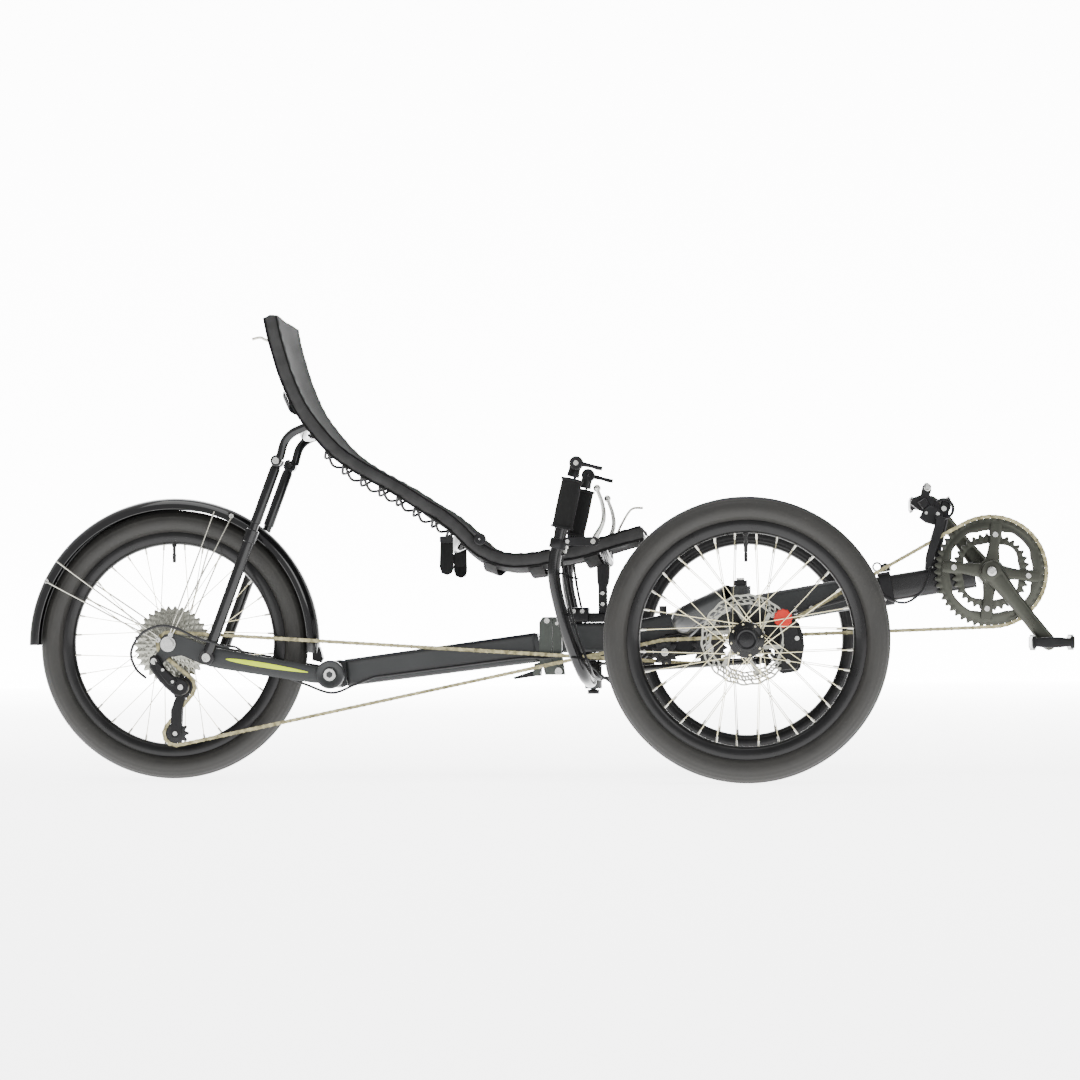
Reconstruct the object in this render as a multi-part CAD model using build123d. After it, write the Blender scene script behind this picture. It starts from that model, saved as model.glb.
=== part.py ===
from build123d import *
import math
import os

# Recumbent tadpole trike: two steered front wheels, one driven rear wheel, millimetres.
# Lengths along X are measured from the front axle, forward positive; +Y is the rider's left;
# heights are above the ground. save() moves everything so that the box's middle is the origin.

# Driving dimensions
SHIFT_X = 374.6  # front axle to the middle of the box
WHEELBASE = 1065.0
TRACK = 740.0
WHEEL_R = 250.0  # 20-inch tyre, 47-406
TYRE_W = 47.0
TYRE_WALL = 3.0
RIM_OUT_R = 202.5
RIM_IN_R = 184.0
RIM_W = 25.0
SPOKE_COUNT = 32
SPOKE_R = 1.0
ROTOR_R = 80.0
BEAM_W = 50.0
BEAM_WALL = 2.5
# x, z and height of each beam station
FRONT_BEAM = [(-341, 256.5, 55), (-215, 256.5, 55), (-150, 270, 56), (-39, 294, 57), (244, 341.5, 58)]
REAR_BEAM = [(-742, 194.5, 50), (-387, 239, 55)]
BOSSES = [(-154.0, 314.0), (-90.0, 326.0)]  # x and top of each bottle boss
FOLD_PIN = (-347.0, 195.0)
REAR_PIVOT = (-765.0, 192.0)
PIVOT_R = 25.0
STRUT_Y = 87.0
STRUT_LOW = (-992.0, 225.0)
STRUT_TOP = (-858.0, 585.0)
BB = (447.0, 371.0)
BOOM_DEG = 8.85
BOOM_W = 44.0
BOOM_H = 48.0
COLLAR_X = (246.0, 269.0)
CRANK_LEN = 165.0
CRANK_DEG = -52.0
BIG_RING_R = 101.1  # 50 teeth, half-inch pitch
SMALL_RING_R = 68.8  # 34 teeth
BIG_RING_Y = -48.0
SMALL_RING_Y = -41.0
COG_RADII = [68.8, 60.7, 52.6, 46.5, 40.5, 34.4, 30.4, 26.5, 22.5]  # large to small
COG_Y0 = -31.0
COG_PITCH_Y = -3.6
CHAIN_W = 6.0
CHAIN_H = 8.0
POWER_IDLER = (-68.0, 236.0, 30.5, -46.0)  # x, z, pitch radius, y
RETURN_IDLER = (-150.0, 228.5, 22.5, -60.0)
UPPER_JOCKEY = (-1040.0, 171.0)
LOWER_JOCKEY = (-1054.0, 85.5)
JOCKEY_R = 22.2
CAGE_Y = -60.0
KINGPIN = (-10.0, 290.0)
KINGPIN_R = 6.0
STEER_X = -284.0
STEER_ARM = (45.0, 14.0)
BAR_R = 11.1
BAR_PATH = [(-284, 150, 176), (-292, 226, 190), (-320, 235, 262), (-342, 235, 350), (-343, 235, 391),
            (-330, 235, 443), (-308, 235, 541)]
SEAT_LINE = [(-861, 845), (-845, 778), (-798, 666), (-738, 596), (-665, 550), (-582, 499), (-489, 422),
             (-425, 398), (-353, 405), (-187, 445)]
SEAT_Y = 150.0
CROSS_TUBES = [(-858, 833), (-790, 655), (-516, 447), (-262, 427), (-190, 444)]
RAIL_R = 11.0
SLING_T = 12.0
SLING_HALF = 137.0
FENDER_R = 274.0
FENDER_W = 58.0
FENDER_DEPTH = 22.0
RUN_GAP = 0.1

os.makedirs("parts", exist_ok=True)


def save(name, *shapes):
    """Write one node, moved so that the box's middle is over the origin."""
    flat = []
    for shape in shapes:
        flat += list(shape.solids())
    whole = Compound(children=[Location((SHIFT_X, 0, 0)) * s for s in flat])
    export_step(whole, f"parts/{name}.step")


def rod(start, end, radius):
    """A straight round bar between two points."""
    a = Vector(*start)
    b = Vector(*end)
    plane = Plane(origin=a, z_dir=b - a)
    return plane * Cylinder(radius, (b - a).length, align=(Align.CENTER, Align.CENTER, Align.MIN))


def pin_y(x, z, y0, y1, radius):
    """A round bar across the trike, from y0 to y1."""
    return rod((x, min(y0, y1), z), (x, max(y0, y1), z), radius)


def pin_z(x, y, z0, z1, radius):
    return rod((x, y, z0), (x, y, z1), radius)


def block(x0, x1, y0, y1, z0, z1):
    return Location(((x0 + x1) / 2, (y0 + y1) / 2, (z0 + z1) / 2)) * Box(
        abs(x1 - x0), abs(y1 - y0), abs(z1 - z0))


def bar(start, end, width, height):
    """A flat bar between two points, its width across Y."""
    a = Vector(*start)
    b = Vector(*end)
    d = (b - a).normalized()
    side = Vector(0, 1, 0)
    plane = Plane(origin=(a + b) / 2, x_dir=d, z_dir=d.cross(side - d * side.dot(d)).normalized())
    return plane * Box((b - a).length, width, height)


def tube(points, radius, bends, wall=0.0):
    """A round tube along straight runs joined by arcs, hollow when a wall is given."""
    path = FilletPolyline(*points, radius=bends)
    start = path @ 0
    plane = Plane(origin=start, z_dir=path % 0)
    solid = sweep(plane * Circle(radius), path=path)
    if wall:
        solid = solid - sweep(plane * Circle(radius - wall), path=path)
    return solid


def side_plate(points, y0, y1):
    """A flat plate with a side-view outline, from y0 to y1."""
    face = Plane.XZ * make_face(Polyline(*points, close=True))
    return Location((0, max(y0, y1), 0)) * extrude(face, abs(y1 - y0))


def outline(stations):
    """A closed outline round a centre line of (x, z, height) stations."""
    upper = []
    lower = []
    for i, (x, z, height) in enumerate(stations):
        before = stations[max(i - 1, 0)]
        after = stations[min(i + 1, len(stations) - 1)]
        length = math.hypot(after[0] - before[0], after[1] - before[1])
        nx = -(after[1] - before[1]) / length
        nz = (after[0] - before[0]) / length
        upper.append((x + nx * height / 2, z + nz * height / 2))
        lower.append((x - nx * height / 2, z - nz * height / 2))
    return upper + lower[::-1]


def box_beam(stations, width, wall):
    """A hollow rectangular beam, open at both ends."""
    outer = side_plate(outline(stations), -width / 2, width / 2)
    outer = fillet(outer.edges().filter_by(lambda e: abs(e.center().Y) > width / 2 - 0.1
                                           and e.length > 40), 7)
    longer = [(stations[0][0] - 1, stations[0][1], stations[0][2])] + stations[1:-1]
    longer += [(stations[-1][0] + 1, stations[-1][1], stations[-1][2])]
    inner = [(x, z, h - 2 * wall) for x, z, h in longer]
    return outer - side_plate(outline(inner), -width / 2 + wall, width / 2 - wall)


def turned(profile, x, z, y=0.0, arc=360.0, start=0.0):
    """A (radius, y) profile turned about a cross axis at (x, z)."""
    face = make_face(Polyline(*profile, close=True))
    solid = revolve(face, axis=Axis.Y, revolution_arc=arc)
    return Location((x, y, z)) * Rotation(0, start, 0) * solid


def ring_profile(r0, r1, y0, y1):
    return [(r0, y0), (r1, y0), (r1, y1), (r0, y1)]


def toothed(radius, x, z, y, thickness, bore):
    """A chain sprocket: half-inch teeth round a disc with a bore."""
    teeth = round(math.pi * 2 * radius / 12.7)
    points = []
    for i in range(teeth):
        a = 2 * math.pi * i / teeth
        for part, r in ((0.0, radius - 3.4), (0.3, radius - 2.2), (0.45, radius + 2.0), (0.55, radius + 2.0),
                        (0.7, radius - 2.2)):
            b = a + part * 2 * math.pi / teeth
            points.append((r * math.cos(b), r * math.sin(b)))
    disc = extrude(Plane.XZ * make_face(Polyline(*points, close=True)), thickness)
    disc = disc - Rotation(90, 0, 0) * Cylinder(bore, 4 * thickness)
    return Location((x, y + thickness / 2, z)) * disc


def wheel(name, x, y, sign, flange_out, flange_in):
    """Write the tyre and rim of one wheel and give back its spokes; sign is the outboard side."""
    ring = Circle(TYRE_W / 2) - Circle(TYRE_W / 2 - TYRE_WALL)
    section = Plane.XY * Location((WHEEL_R - TYRE_W / 2, 0, 0)) * ring
    tyre = Location((x, y, WHEEL_R)) * revolve(section, axis=Axis.Y, revolution_arc=360)
    save(f"{name}_tyre", tyre)
    walls = turned(ring_profile(RIM_IN_R, RIM_OUT_R, -RIM_W / 2, RIM_W / 2), x, WHEEL_R, y)
    core = turned(ring_profile(RIM_IN_R + 1.5, RIM_OUT_R - 1.5, -RIM_W / 2 + 1.5, RIM_W / 2 - 1.5),
                  x, WHEEL_R, y)
    save(f"{name}_rim", walls - core)
    spokes = []
    for i in range(SPOKE_COUNT):
        side = 1 if i % 2 else -1
        flange_y = flange_out if side == sign else flange_in
        lead = math.radians(46 if i % 4 < 2 else -46)
        rim_a = 2 * math.pi * (i + 0.5) / SPOKE_COUNT
        hub_a = rim_a + lead
        flange_r = 32.5
        start = (x + flange_r * math.cos(hub_a), flange_y, WHEEL_R + flange_r * math.sin(hub_a))
        seat_r = RIM_IN_R - 0.5
        end = (x + seat_r * math.cos(rim_a), y + side * 3, WHEEL_R + seat_r * math.sin(rim_a))
        spokes.append(rod(start, end, SPOKE_R))
    return spokes


def flange_hub(x, y0, y1, flange_ys, body_r, bore):
    """A hub shell with two spoke flanges and a bore for its axle."""
    low = min(y0, y1)
    high = max(y0, y1)
    hub = pin_y(x, WHEEL_R, low, high, body_r)
    for fy in flange_ys:
        hub += pin_y(x, WHEEL_R, fy - 2, fy + 2, 31)
    hub = hub - pin_y(x, WHEEL_R, low - 1, high + 1, bore)
    return hub


# Main frame: hollow front beam, outriggers with kingpin housings
def front_beam():
    beam = box_beam(FRONT_BEAM, BEAM_W, BEAM_WALL)
    for bx, top in BOSSES:
        beam += pin_z(bx, 0, top - 20, top, 7)
        beam = beam - pin_z(bx, 0, top - 14, top + 1, 2.5)
    save("main_beam", beam)


def outrigger(name, side):
    path = [(-112, side * 25.8, 283), (-112, side * 205, 288), (-28, side * 278, 326)]
    arm = tube(path, 22.5, [55], 2.0)
    housing = pin_z(KINGPIN[0], side * KINGPIN[1], 297, 345, 18)
    arm = (arm - housing) + housing
    arm = arm - pin_z(KINGPIN[0], side * KINGPIN[1], 290, 350, KINGPIN_R + RUN_GAP)
    save(name, arm)


front_beam()
outrigger("outrigger_right", -1)
outrigger("outrigger_left", 1)

# Fold hinge: front block on the main frame, rear block on the rear beam, cross pin at the bottom
front_block = side_plate([(-357.5, 210), (-341.5, 206), (-341.5, 295), (-357.5, 295)], -24, 24)
front_block += side_plate([(-357.5, 229), (-341.5, 229), (-336, 188), (-358, 188)], -9, 9)
front_block = front_block - pin_y(*FOLD_PIN, -30, 30, 5)
save("hinge_block_front", front_block, pin_y(*FOLD_PIN, -26, 26, 5))
rear_block = side_plate([(-382.5, 206), (-358.5, 212), (-358.5, 295), (-376, 295), (-382.5, 285)], -24, 24)
for side in (-1, 1):
    lug = [(-382.5, 229), (-358.5, 229), (-339, 207), (-339, 188), (-372, 188)]
    rear_block += side_plate(lug, side * 10, side * 22)
rear_block = rear_block - side_plate([(-358, 209.8), (-330, 200), (-330, 300), (-358, 300)], -30, 30)
rear_block = rear_block - pin_y(*FOLD_PIN, -30, 30, 5 + RUN_GAP)
latch = pin_y(-388, 192, -20, 20, 6) + side_plate([(-388, 186), (-430, 180), (-432, 184), (-388, 198)], -6, 6)
latch = latch - pin_y(-388, 192, -30, 30, 3 + RUN_GAP)
save("latch_lever", latch)
rear_block += pin_y(-388, 192, -24, 24, 3)
for side in (-1, 1):
    rear_block += side_plate([(-395, 186), (-381, 186), (-379, 212), (-392, 209)], side * 21, side * 24)
save("hinge_block_rear", rear_block)

# Sliding boom and its clamp collar
boom_dir = Vector(math.cos(math.radians(BOOM_DEG)), 0, math.sin(math.radians(BOOM_DEG)))
collar_mid = Vector((COLLAR_X[0] + COLLAR_X[1]) / 2, 0, 341.5)
boom_plane = Plane(origin=collar_mid, x_dir=boom_dir, z_dir=Vector(-boom_dir.Z, 0, boom_dir.X))
collar = boom_plane * Box(22, 58, 62) - boom_plane * Box(30, BOOM_W + 0.4, BOOM_H + 0.4)
collar += boom_plane * Location((0, 0, 36)) * Box(14, 12, 11)
save("boom_clamp", collar)
bb_run = BB[0] - collar_mid.X
boom_len = bb_run / boom_dir.X
boom = boom_plane * Location((boom_len / 2 - 40, 0, 0)) * Box(boom_len + 60, BOOM_W, BOOM_H)
boom = boom - boom_plane * Location((boom_len / 2 - 40, 0, 0)) * Box(boom_len + 80, BOOM_W - 5, BOOM_H - 5)
shell = pin_y(*BB, -34, 34, 23)
boom = (boom - shell) + shell
boom = boom - pin_y(*BB, -40, 40, 12 + RUN_GAP)
save("boom", boom)
post_line = [(326, 352), (350, 356), (353, 395), (372, 470), (376, 505), (362, 508), (352, 470), (330, 400)]
post = side_plate(post_line, -9, 5)
post = post - boom_plane * Box(800, BOOM_W, BOOM_H)
plate = side_plate([(300, 497), (318, 484), (352, 470), (366, 486), (338, 512), (341, 528), (334, 536),
                    (326, 530), (322, 512), (306, 508)], -20, -10)
plate = plate - pin_y(334.7, 527.5, -30, 0, 4)
save("derailleur_post", post.fuse(plate))
front_mech = side_plate([(318, 470), (352, 455), (362, 482), (338, 494)], -38, -21)
guide = [(349, 474), (366, 470), (352, 425), (338, 380), (326, 377), (336, 425)]
front_mech += side_plate(guide, -56, -53)
front_mech += side_plate(guide, -40, -37)
front_mech += block(346, 358, -54, -38, 468, 474)
save("front_derailleur", front_mech)

# Cranks, rings and pedals
big = toothed(BIG_RING_R, *BB, BIG_RING_Y, 4, 62)
small = toothed(SMALL_RING_R, *BB, SMALL_RING_Y, 4, 50)
spider = pin_y(*BB, -56, -50.2, 24)
for i in range(4):
    a = math.radians(CRANK_DEG + 45 + 90 * i)
    tip = (BB[0] + 78 * math.cos(a), -53, BB[1] + 78 * math.sin(a))
    spider += bar((BB[0], -53, BB[1]), tip, 5.6, 18)
    bolt_at = (BB[0] + 64.5 * math.cos(a), BB[1] + 64.5 * math.sin(a))
    spider += pin_y(*bolt_at, -57, -39, 4)
hollow_spider = spider - pin_y(*BB, -60, -40, 12)
save("chainrings", big - spider, small - spider, hollow_spider)
arms = []
for side, turn in ((-1, CRANK_DEG), (1, CRANK_DEG + 180)):
    a = math.radians(turn)
    eye = (BB[0] + CRANK_LEN * math.cos(a), BB[1] + CRANK_LEN * math.sin(a))
    arm = bar((BB[0], side * 66, BB[1]), (eye[0], side * 66, eye[1]), 14, 28)
    arm += pin_y(*BB, side * 56.2, side * 73, 20)
    arm += pin_y(*eye, side * 59, side * 73, 14)
    arm = arm - pin_y(*eye, side * 50, side * 80, 7 + RUN_GAP)
    arm = arm - pin_y(*BB, side * 50, side * 80, 12)
    arms += list(arm.solids())
    name = "pedal_right" if side < 0 else "pedal_left"
    spindle = pin_y(*eye, side * 60, side * 100, 7)
    frame = block(eye[0] - 38, eye[0] + 38, side * 84, side * 172, eye[1] - 12, eye[1] + 12)
    frame = frame - block(eye[0] - 30, eye[0] - 12, side * 92, side * 164, eye[1] - 20, eye[1] + 20)
    frame = frame - block(eye[0] + 12, eye[0] + 30, side * 92, side * 164, eye[1] - 20, eye[1] + 20)
    save(name, frame + spindle)
save("crank_arms", *arms, pin_y(*BB, -74, 74, 12))

# Front wheels, knuckles, brakes
for name, side in (("right", -1), ("left", 1)):
    y = side * TRACK / 2
    spokes = wheel(f"front_{name}", 0, y, side, y + side * 26, y - side * 20)
    hub = flange_hub(0, y - side * 30, y + side * 36, (y + side * 26, y - side * 20), 17, 8 + RUN_GAP)
    hub = hub - pin_y(0, WHEEL_R, y + side * 27, y + side * 37, 12)
    hub += pin_y(0, WHEEL_R, y + side * 29.5, y + side * 37.5, 21.6)
    save(f"front_{name}_hub", hub, *spokes)
    rotor = turned(ring_profile(61, ROTOR_R, -0.9, 0.9), 0, WHEEL_R, y - side * 33)
    for i in range(6):
        a = math.radians(60 * i + 20)
        b = a - 0.5
        inner = (20 * math.cos(b), y - side * 33, WHEEL_R + 20 * math.sin(b))
        outer = (64 * math.cos(a), y - side * 33, WHEEL_R + 64 * math.sin(a))
        rotor += bar(inner, outer, 1.8, 9)
    rotor += turned(ring_profile(12, 24, -2.9, 2.9), 0, WHEEL_R, y - side * 33)
    save(f"front_{name}_rotor", rotor)
    ky = side * KINGPIN[1]
    knuckle = block(KINGPIN[0] - 17, KINGPIN[0] + 19, ky - 15, ky + 15, 233, 296.7)
    knuckle += pin_z(KINGPIN[0], ky, 290, 345.5, KINGPIN_R)
    knuckle += pin_z(KINGPIN[0], ky, 345.5, 355, 12)
    knuckle += pin_y(0, WHEEL_R, ky, y + side * 28, 8)
    knuckle += pin_y(0, WHEEL_R, ky, side * 325, 13)
    arm_tip = (KINGPIN[0] + STEER_ARM[0], ky + side * STEER_ARM[1])
    reach = Vector(STEER_ARM[0], side * STEER_ARM[1], 0)
    flat = Plane(origin=(KINGPIN[0] + STEER_ARM[0] / 2, ky + side * STEER_ARM[1] / 2, 229),
                 x_dir=reach, z_dir=(0, 0, 1)) * Box(reach.length, 16, 8)
    knuckle += flat
    knuckle += pin_z(*arm_tip, 225, 233, 9)
    knuckle += pin_z(*arm_tip, 204, 226, 3.5)
    save(f"knuckle_{name}", knuckle)
    mount = side_plate([(9, 236), (9, 290), (52, 306), (62, 292), (66, 250), (40, 240)],
                       side * 305.3, side * 313)
    mount = mount - pin_y(0, WHEEL_R, side * 300, side * 330, 13.5)
    body_line = [(52, 205), (60, 190), (92, 196), (101, 240), (92, 280), (64, 300), (50, 292), (56, 250)]
    body = side_plate(body_line, side * 313.2, side * 342.5)
    body = body - turned(ring_profile(40, ROTOR_R + 1.5, -2.2, 2.2), 0, WHEEL_R, y - side * 33)
    body = body - pin_y(0, WHEEL_R, side * 312, side * 356, 50)
    knob = pin_y(64, 287, side * 342.7, side * 350, 16.5)
    save(f"caliper_{name}", mount + body, knob)

# Rear wheel, cassette and axle
rear_spokes = wheel("rear", -WHEELBASE, 0, 1, 34, -22)
rear_hub = flange_hub(-WHEELBASE, -28, 58, (34, -22), 16, 8 + RUN_GAP)
save("rear_hub", rear_hub, *rear_spokes)
cogs = []
for i, r in enumerate(COG_RADII):
    cogs.append(toothed(r, -WHEELBASE, WHEEL_R, COG_Y0 + COG_PITCH_Y * i, 1.8, 17))
sleeve = pin_y(-WHEELBASE, WHEEL_R, -28.6, -63, 17.3) - pin_y(-WHEELBASE, WHEEL_R, -20, -70, 8 + RUN_GAP)
for cog in cogs:
    sleeve += cog
save("cassette", sleeve)
axle = pin_y(-WHEELBASE, WHEEL_R, -67.5, 67.5, 8) + pin_y(-WHEELBASE, WHEEL_R, -84, 84, 5)
for side in (-1, 1):
    axle += pin_y(-WHEELBASE, WHEEL_R, side * 79, side * 86, 10)
save("rear_axle", axle)

# Rear arm: two arms on a pivot barrel, axle plates at the ends
swing = pin_y(*REAR_PIVOT, -80, 80, PIVOT_R - 3)
for side in (-1, 1):
    sheet = [(-765, 208), (-765, 174), (-800, 178), (-975, 202), (-1000, 208), (-1000, 246), (-975, 242),
             (-800, 209)]
    swing += side_plate(sheet, side * 68, side * 76)
    end = [(-975, 206), (-975, 240), (-1050, 268), (-1079, 264), (-1080, 236), (-1092, 226), (-1092, 214),
           (-1078, 212), (-1050, 228)]
    swing += side_plate(end, side * 69, side * 75.8)
    swing += pin_y(*REAR_PIVOT, side * 68, side * 83, PIVOT_R)
swing = swing - side_plate([(-790, 160), (-765, 160), (-765, 230), (-790, 230)], -26.5, 26.5)
swing = swing - pin_y(*REAR_PIVOT, -25.5, 25.5, PIVOT_R + 4)
swing = swing - pin_y(*REAR_PIVOT, -90, 90, 8 + RUN_GAP)
swing = swing - pin_y(-WHEELBASE, WHEEL_R, -90, 90, 5)
for side in (-1, 1):
    swing = swing - pin_y(*STRUT_LOW, side * 60, side * 80, 5)
beam_end = pin_y(*REAR_PIVOT, -25, 25, PIVOT_R) - pin_y(*REAR_PIVOT, -30, 30, 8)
beam_end += side_plate([(-765, 168), (-740, 171), (-742, 218), (-765, 216)], -25, 25)
beam_end = beam_end - pin_y(*REAR_PIVOT, -30, 30, 8)
pivot_bolt = pin_y(*REAR_PIVOT, -86, 86, 8)
for side in (-1, 1):
    pivot_bolt += pin_y(*REAR_PIVOT, side * 83.2, side * 88, 11)
save("rear_beam", box_beam(REAR_BEAM, BEAM_W, BEAM_WALL) + beam_end, pivot_bolt)

# Struts: lower tubes on the arm, upper rods sliding into them
strut_lower = []
strut_upper = []
low = Vector(STRUT_LOW[0], 0, STRUT_LOW[1])
top = Vector(STRUT_TOP[0], 0, STRUT_TOP[1])
along = (top - low).normalized()
for side in (-1, 1):
    across = Vector(0, side * STRUT_Y, 0)
    split = low + along * 250
    outer = rod(low + across + along * 10, split + across, 10.5) - rod(low + across + along * 40,
                                                                   split + across + along, 8 + RUN_GAP)
    outer += pin_y(*STRUT_LOW, side * 76.3, side * 93, 14)
    outer = outer - pin_y(*STRUT_LOW, side * 70, side * 97, 5 + RUN_GAP)
    strut_lower += list(outer.solids())
    inner = rod(low + across + along * 70, top + across - along * 8, 8)
    inner += rod(split + across + along * 45, top + across - along * 8, 10.5)
    inner += pin_y(*STRUT_TOP, side * 79, side * 93, 12)
    mouth = Vector(STRUT_TOP[0], side * 86, STRUT_TOP[1])
    inner = inner - bar(mouth, mouth + Vector(0.607, 0, 0.795) * 40, 26, 12.6)
    inner = inner - pin_y(*STRUT_TOP, side * 70, side * 99, 6.3)
    inner = inner - rod(low + across + along * 60, top + across - along * 26, 6)
    strut_upper += list(inner.solids())
save("strut_tubes", *strut_lower)
save("strut_rods", *strut_upper)
bolts = []
for side in (-1, 1):
    bolt = pin_y(*STRUT_LOW, side * 68, side * 94, 5) + pin_y(*STRUT_LOW, side * 93.3, side * 97, 8)
    bolts += list(bolt.solids())
save("swingarm", *swing.solids(), *bolts)

# Fender over the rear wheel and its wire stays
half = FENDER_W / 2
inner_r = FENDER_R - FENDER_DEPTH
shell_profile = [(inner_r, -half), (FENDER_R - 6, -half), (FENDER_R, -half + 8), (FENDER_R, half - 8),
                 (FENDER_R - 6, half), (inner_r, half), (inner_r, half - 1.6), (FENDER_R - 7, half - 1.6),
                 (FENDER_R - 1.6, half - 8.6), (FENDER_R - 1.6, -half + 8.6), (FENDER_R - 7, -half + 1.6),
                 (inner_r, -half + 1.6)]
fender = turned(shell_profile, -WHEELBASE, WHEEL_R, 0, arc=184, start=-180)
stays = []
for side in (-1, 1):
    stays.append(rod((-1080, side * 82, 256), (-1313, side * 31, 374), 1.6))
    stays.append(rod((-1060, side * 82, 268), (-951, side * 31, 489), 1.6))
    stays.append(rod((-1080, side * 80.2, 256), (-1080, side * 76.0, 256), 3))
save("fender", fender, *stays)
cable_line = [(-960, -101, 240), (-1010, -102, 262), (-1060, -103, 285), (-1115, -101, 270), (-1130, -97, 222),
              (-1103, -93, 186)]
save("rear_cable", tube(cable_line, 2.5, [60, 55, 32, 32]))

# Rear derailleur
mech_line = [(-1094, 226), (-1080, 226), (-1052, 190), (-1032, 184), (-1028, 158), (-1050, 154), (-1078, 178),
             (-1098, 206)]
mech = side_plate(mech_line, -92, -78.5)
mech += pin_y(*UPPER_JOCKEY, -92, -69.2, 13)
save("rear_derailleur", mech)
cage_line = [(UPPER_JOCKEY[0] - 9, UPPER_JOCKEY[1] + 9), (UPPER_JOCKEY[0] + 11, UPPER_JOCKEY[1] + 5),
             (LOWER_JOCKEY[0] + 11, LOWER_JOCKEY[1] + 30), (LOWER_JOCKEY[0] + 9, LOWER_JOCKEY[1] - 9),
             (LOWER_JOCKEY[0] - 10, LOWER_JOCKEY[1] - 8), (UPPER_JOCKEY[0] - 12, UPPER_JOCKEY[1] - 30)]
cage = side_plate(cage_line, CAGE_Y - 8.5, CAGE_Y - 6.5) + side_plate(cage_line, CAGE_Y + 6.5, CAGE_Y + 8.5)
for spot in (UPPER_JOCKEY, LOWER_JOCKEY):
    cage += pin_y(*spot, CAGE_Y - 8, CAGE_Y + 8, 3)
save("derailleur_cage", cage)
for name, spot in (("upper", UPPER_JOCKEY), ("lower", LOWER_JOCKEY)):
    save(f"jockey_{name}", toothed(JOCKEY_R, *spot, CAGE_Y, 4, 3 + RUN_GAP))

# Idlers beside the main beam
power_x, power_z, power_r, power_y = POWER_IDLER
ret_x, ret_z, ret_r, ret_y = RETURN_IDLER
save("power_idler", toothed(power_r, power_x, power_z, power_y, 5, 5 + RUN_GAP))
save("return_idler", toothed(ret_r, ret_x, ret_z, ret_y, 5, 5 + RUN_GAP))
bracket = side_plate([(-190, 232), (-190, 222), (-160, 217), (-95, 228), (-88, 240), (-95, 252), (-125, 262),
                      (-170, 250)], -34, -29)
bracket += block(-150, -120, -29.5, -25.2, 250, 262)
bracket += pin_y(power_x, power_z, -30, -51, 5)
bracket += pin_y(ret_x, ret_z, -30, -66, 5)
save("idler_bracket", bracket)

# Chain: the straight runs between the sprockets, each stopping short of the teeth
def chain_run(low, low_side, high, high_side, stop_low, stop_high):
    """The run that touches two pitch circles (x, z, radius, y), over (+1) or under (-1) each."""
    gap = math.hypot(high[0] - low[0], high[1] - low[1])
    lean = math.atan2(high[1] - low[1], high[0] - low[0])
    lean -= math.asin((low_side * low[2] - high_side * high[2]) / gap)
    ux = math.cos(lean)
    uz = math.sin(lean)
    ax = low[0] - low_side * low[2] * uz
    az = low[1] + low_side * low[2] * ux
    bx = high[0] - high_side * high[2] * uz
    bz = high[1] + high_side * high[2] * ux
    run = math.hypot(bx - ax, bz - az)
    dy = (high[3] - low[3]) / run
    start = (ax + ux * stop_low, low[3] + dy * stop_low, az + uz * stop_low)
    end = (bx - ux * stop_high, high[3] - dy * stop_high, bz - uz * stop_high)
    return bar(start, end, CHAIN_W, CHAIN_H)


cog = (-WHEELBASE, WHEEL_R, COG_RADII[-1], CAGE_Y)
lower_jockey = (*LOWER_JOCKEY, JOCKEY_R, CAGE_Y)
ring = (*BB, BIG_RING_R, BIG_RING_Y)
power_back = chain_run(cog, 1, POWER_IDLER, -1, 75, 26)
return_back = chain_run(lower_jockey, -1, RETURN_IDLER, 1, 52, 24)
fold_gap = block(FOLD_PIN[0] - 22, FOLD_PIN[0] - 2, -80, -30, 150, 300)
power_parts = (power_back - fold_gap).solids().sort_by(Axis.X)
return_parts = (return_back - fold_gap).solids().sort_by(Axis.X)
save("chain_rear", power_parts[0], return_parts[0])
power_ahead = chain_run(POWER_IDLER, -1, ring, 1, 26, 110)
return_ahead = chain_run(RETURN_IDLER, 1, ring, -1, 24, 110)
save("chain_front", power_parts[1], return_parts[1], power_ahead, return_ahead)

# Handlebar under the seat, with its pivot under the beam
pivot_block = block(STEER_X - 25, STEER_X + 25, -20, 20, 213, 228.8)
pivot_block += pin_z(STEER_X, 0, 160, 214, 6)
pivot_block += pin_z(STEER_X, 0, 152, 160, 11)
save("steering_pivot", pivot_block)
path_right = [(x, -y, z) for x, y, z in BAR_PATH]
whole_bar = path_right[::-1] + BAR_PATH
bars = tube(whole_bar, BAR_R, [30, 55, 70, 60, 22, 22, 22, 22, 60, 70, 55, 30][:len(whole_bar) - 2], 1.6)
stem = pin_z(STEER_X, 0, 162, 212.7, 16)
for side in (-1, 1):
    tip = (STEER_X + STEER_ARM[0], side * STEER_ARM[1])
    stem += Plane(origin=(STEER_X + STEER_ARM[0] / 2, side * STEER_ARM[1] / 2, 208),
                  x_dir=Vector(STEER_ARM[0], side * STEER_ARM[1], 0), z_dir=(0, 0, 1)) * Box(50, 14, 6)
    stem += pin_z(*tip, 205, 211, 8)
    stem += pin_z(*tip, 190, 206, 3.5)
bars = (bars - stem) + stem
bars = bars - pin_z(STEER_X, 0, 140, 230, 6 + RUN_GAP)
save("handlebar", bars)
grips = []
mounts = []
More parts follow.
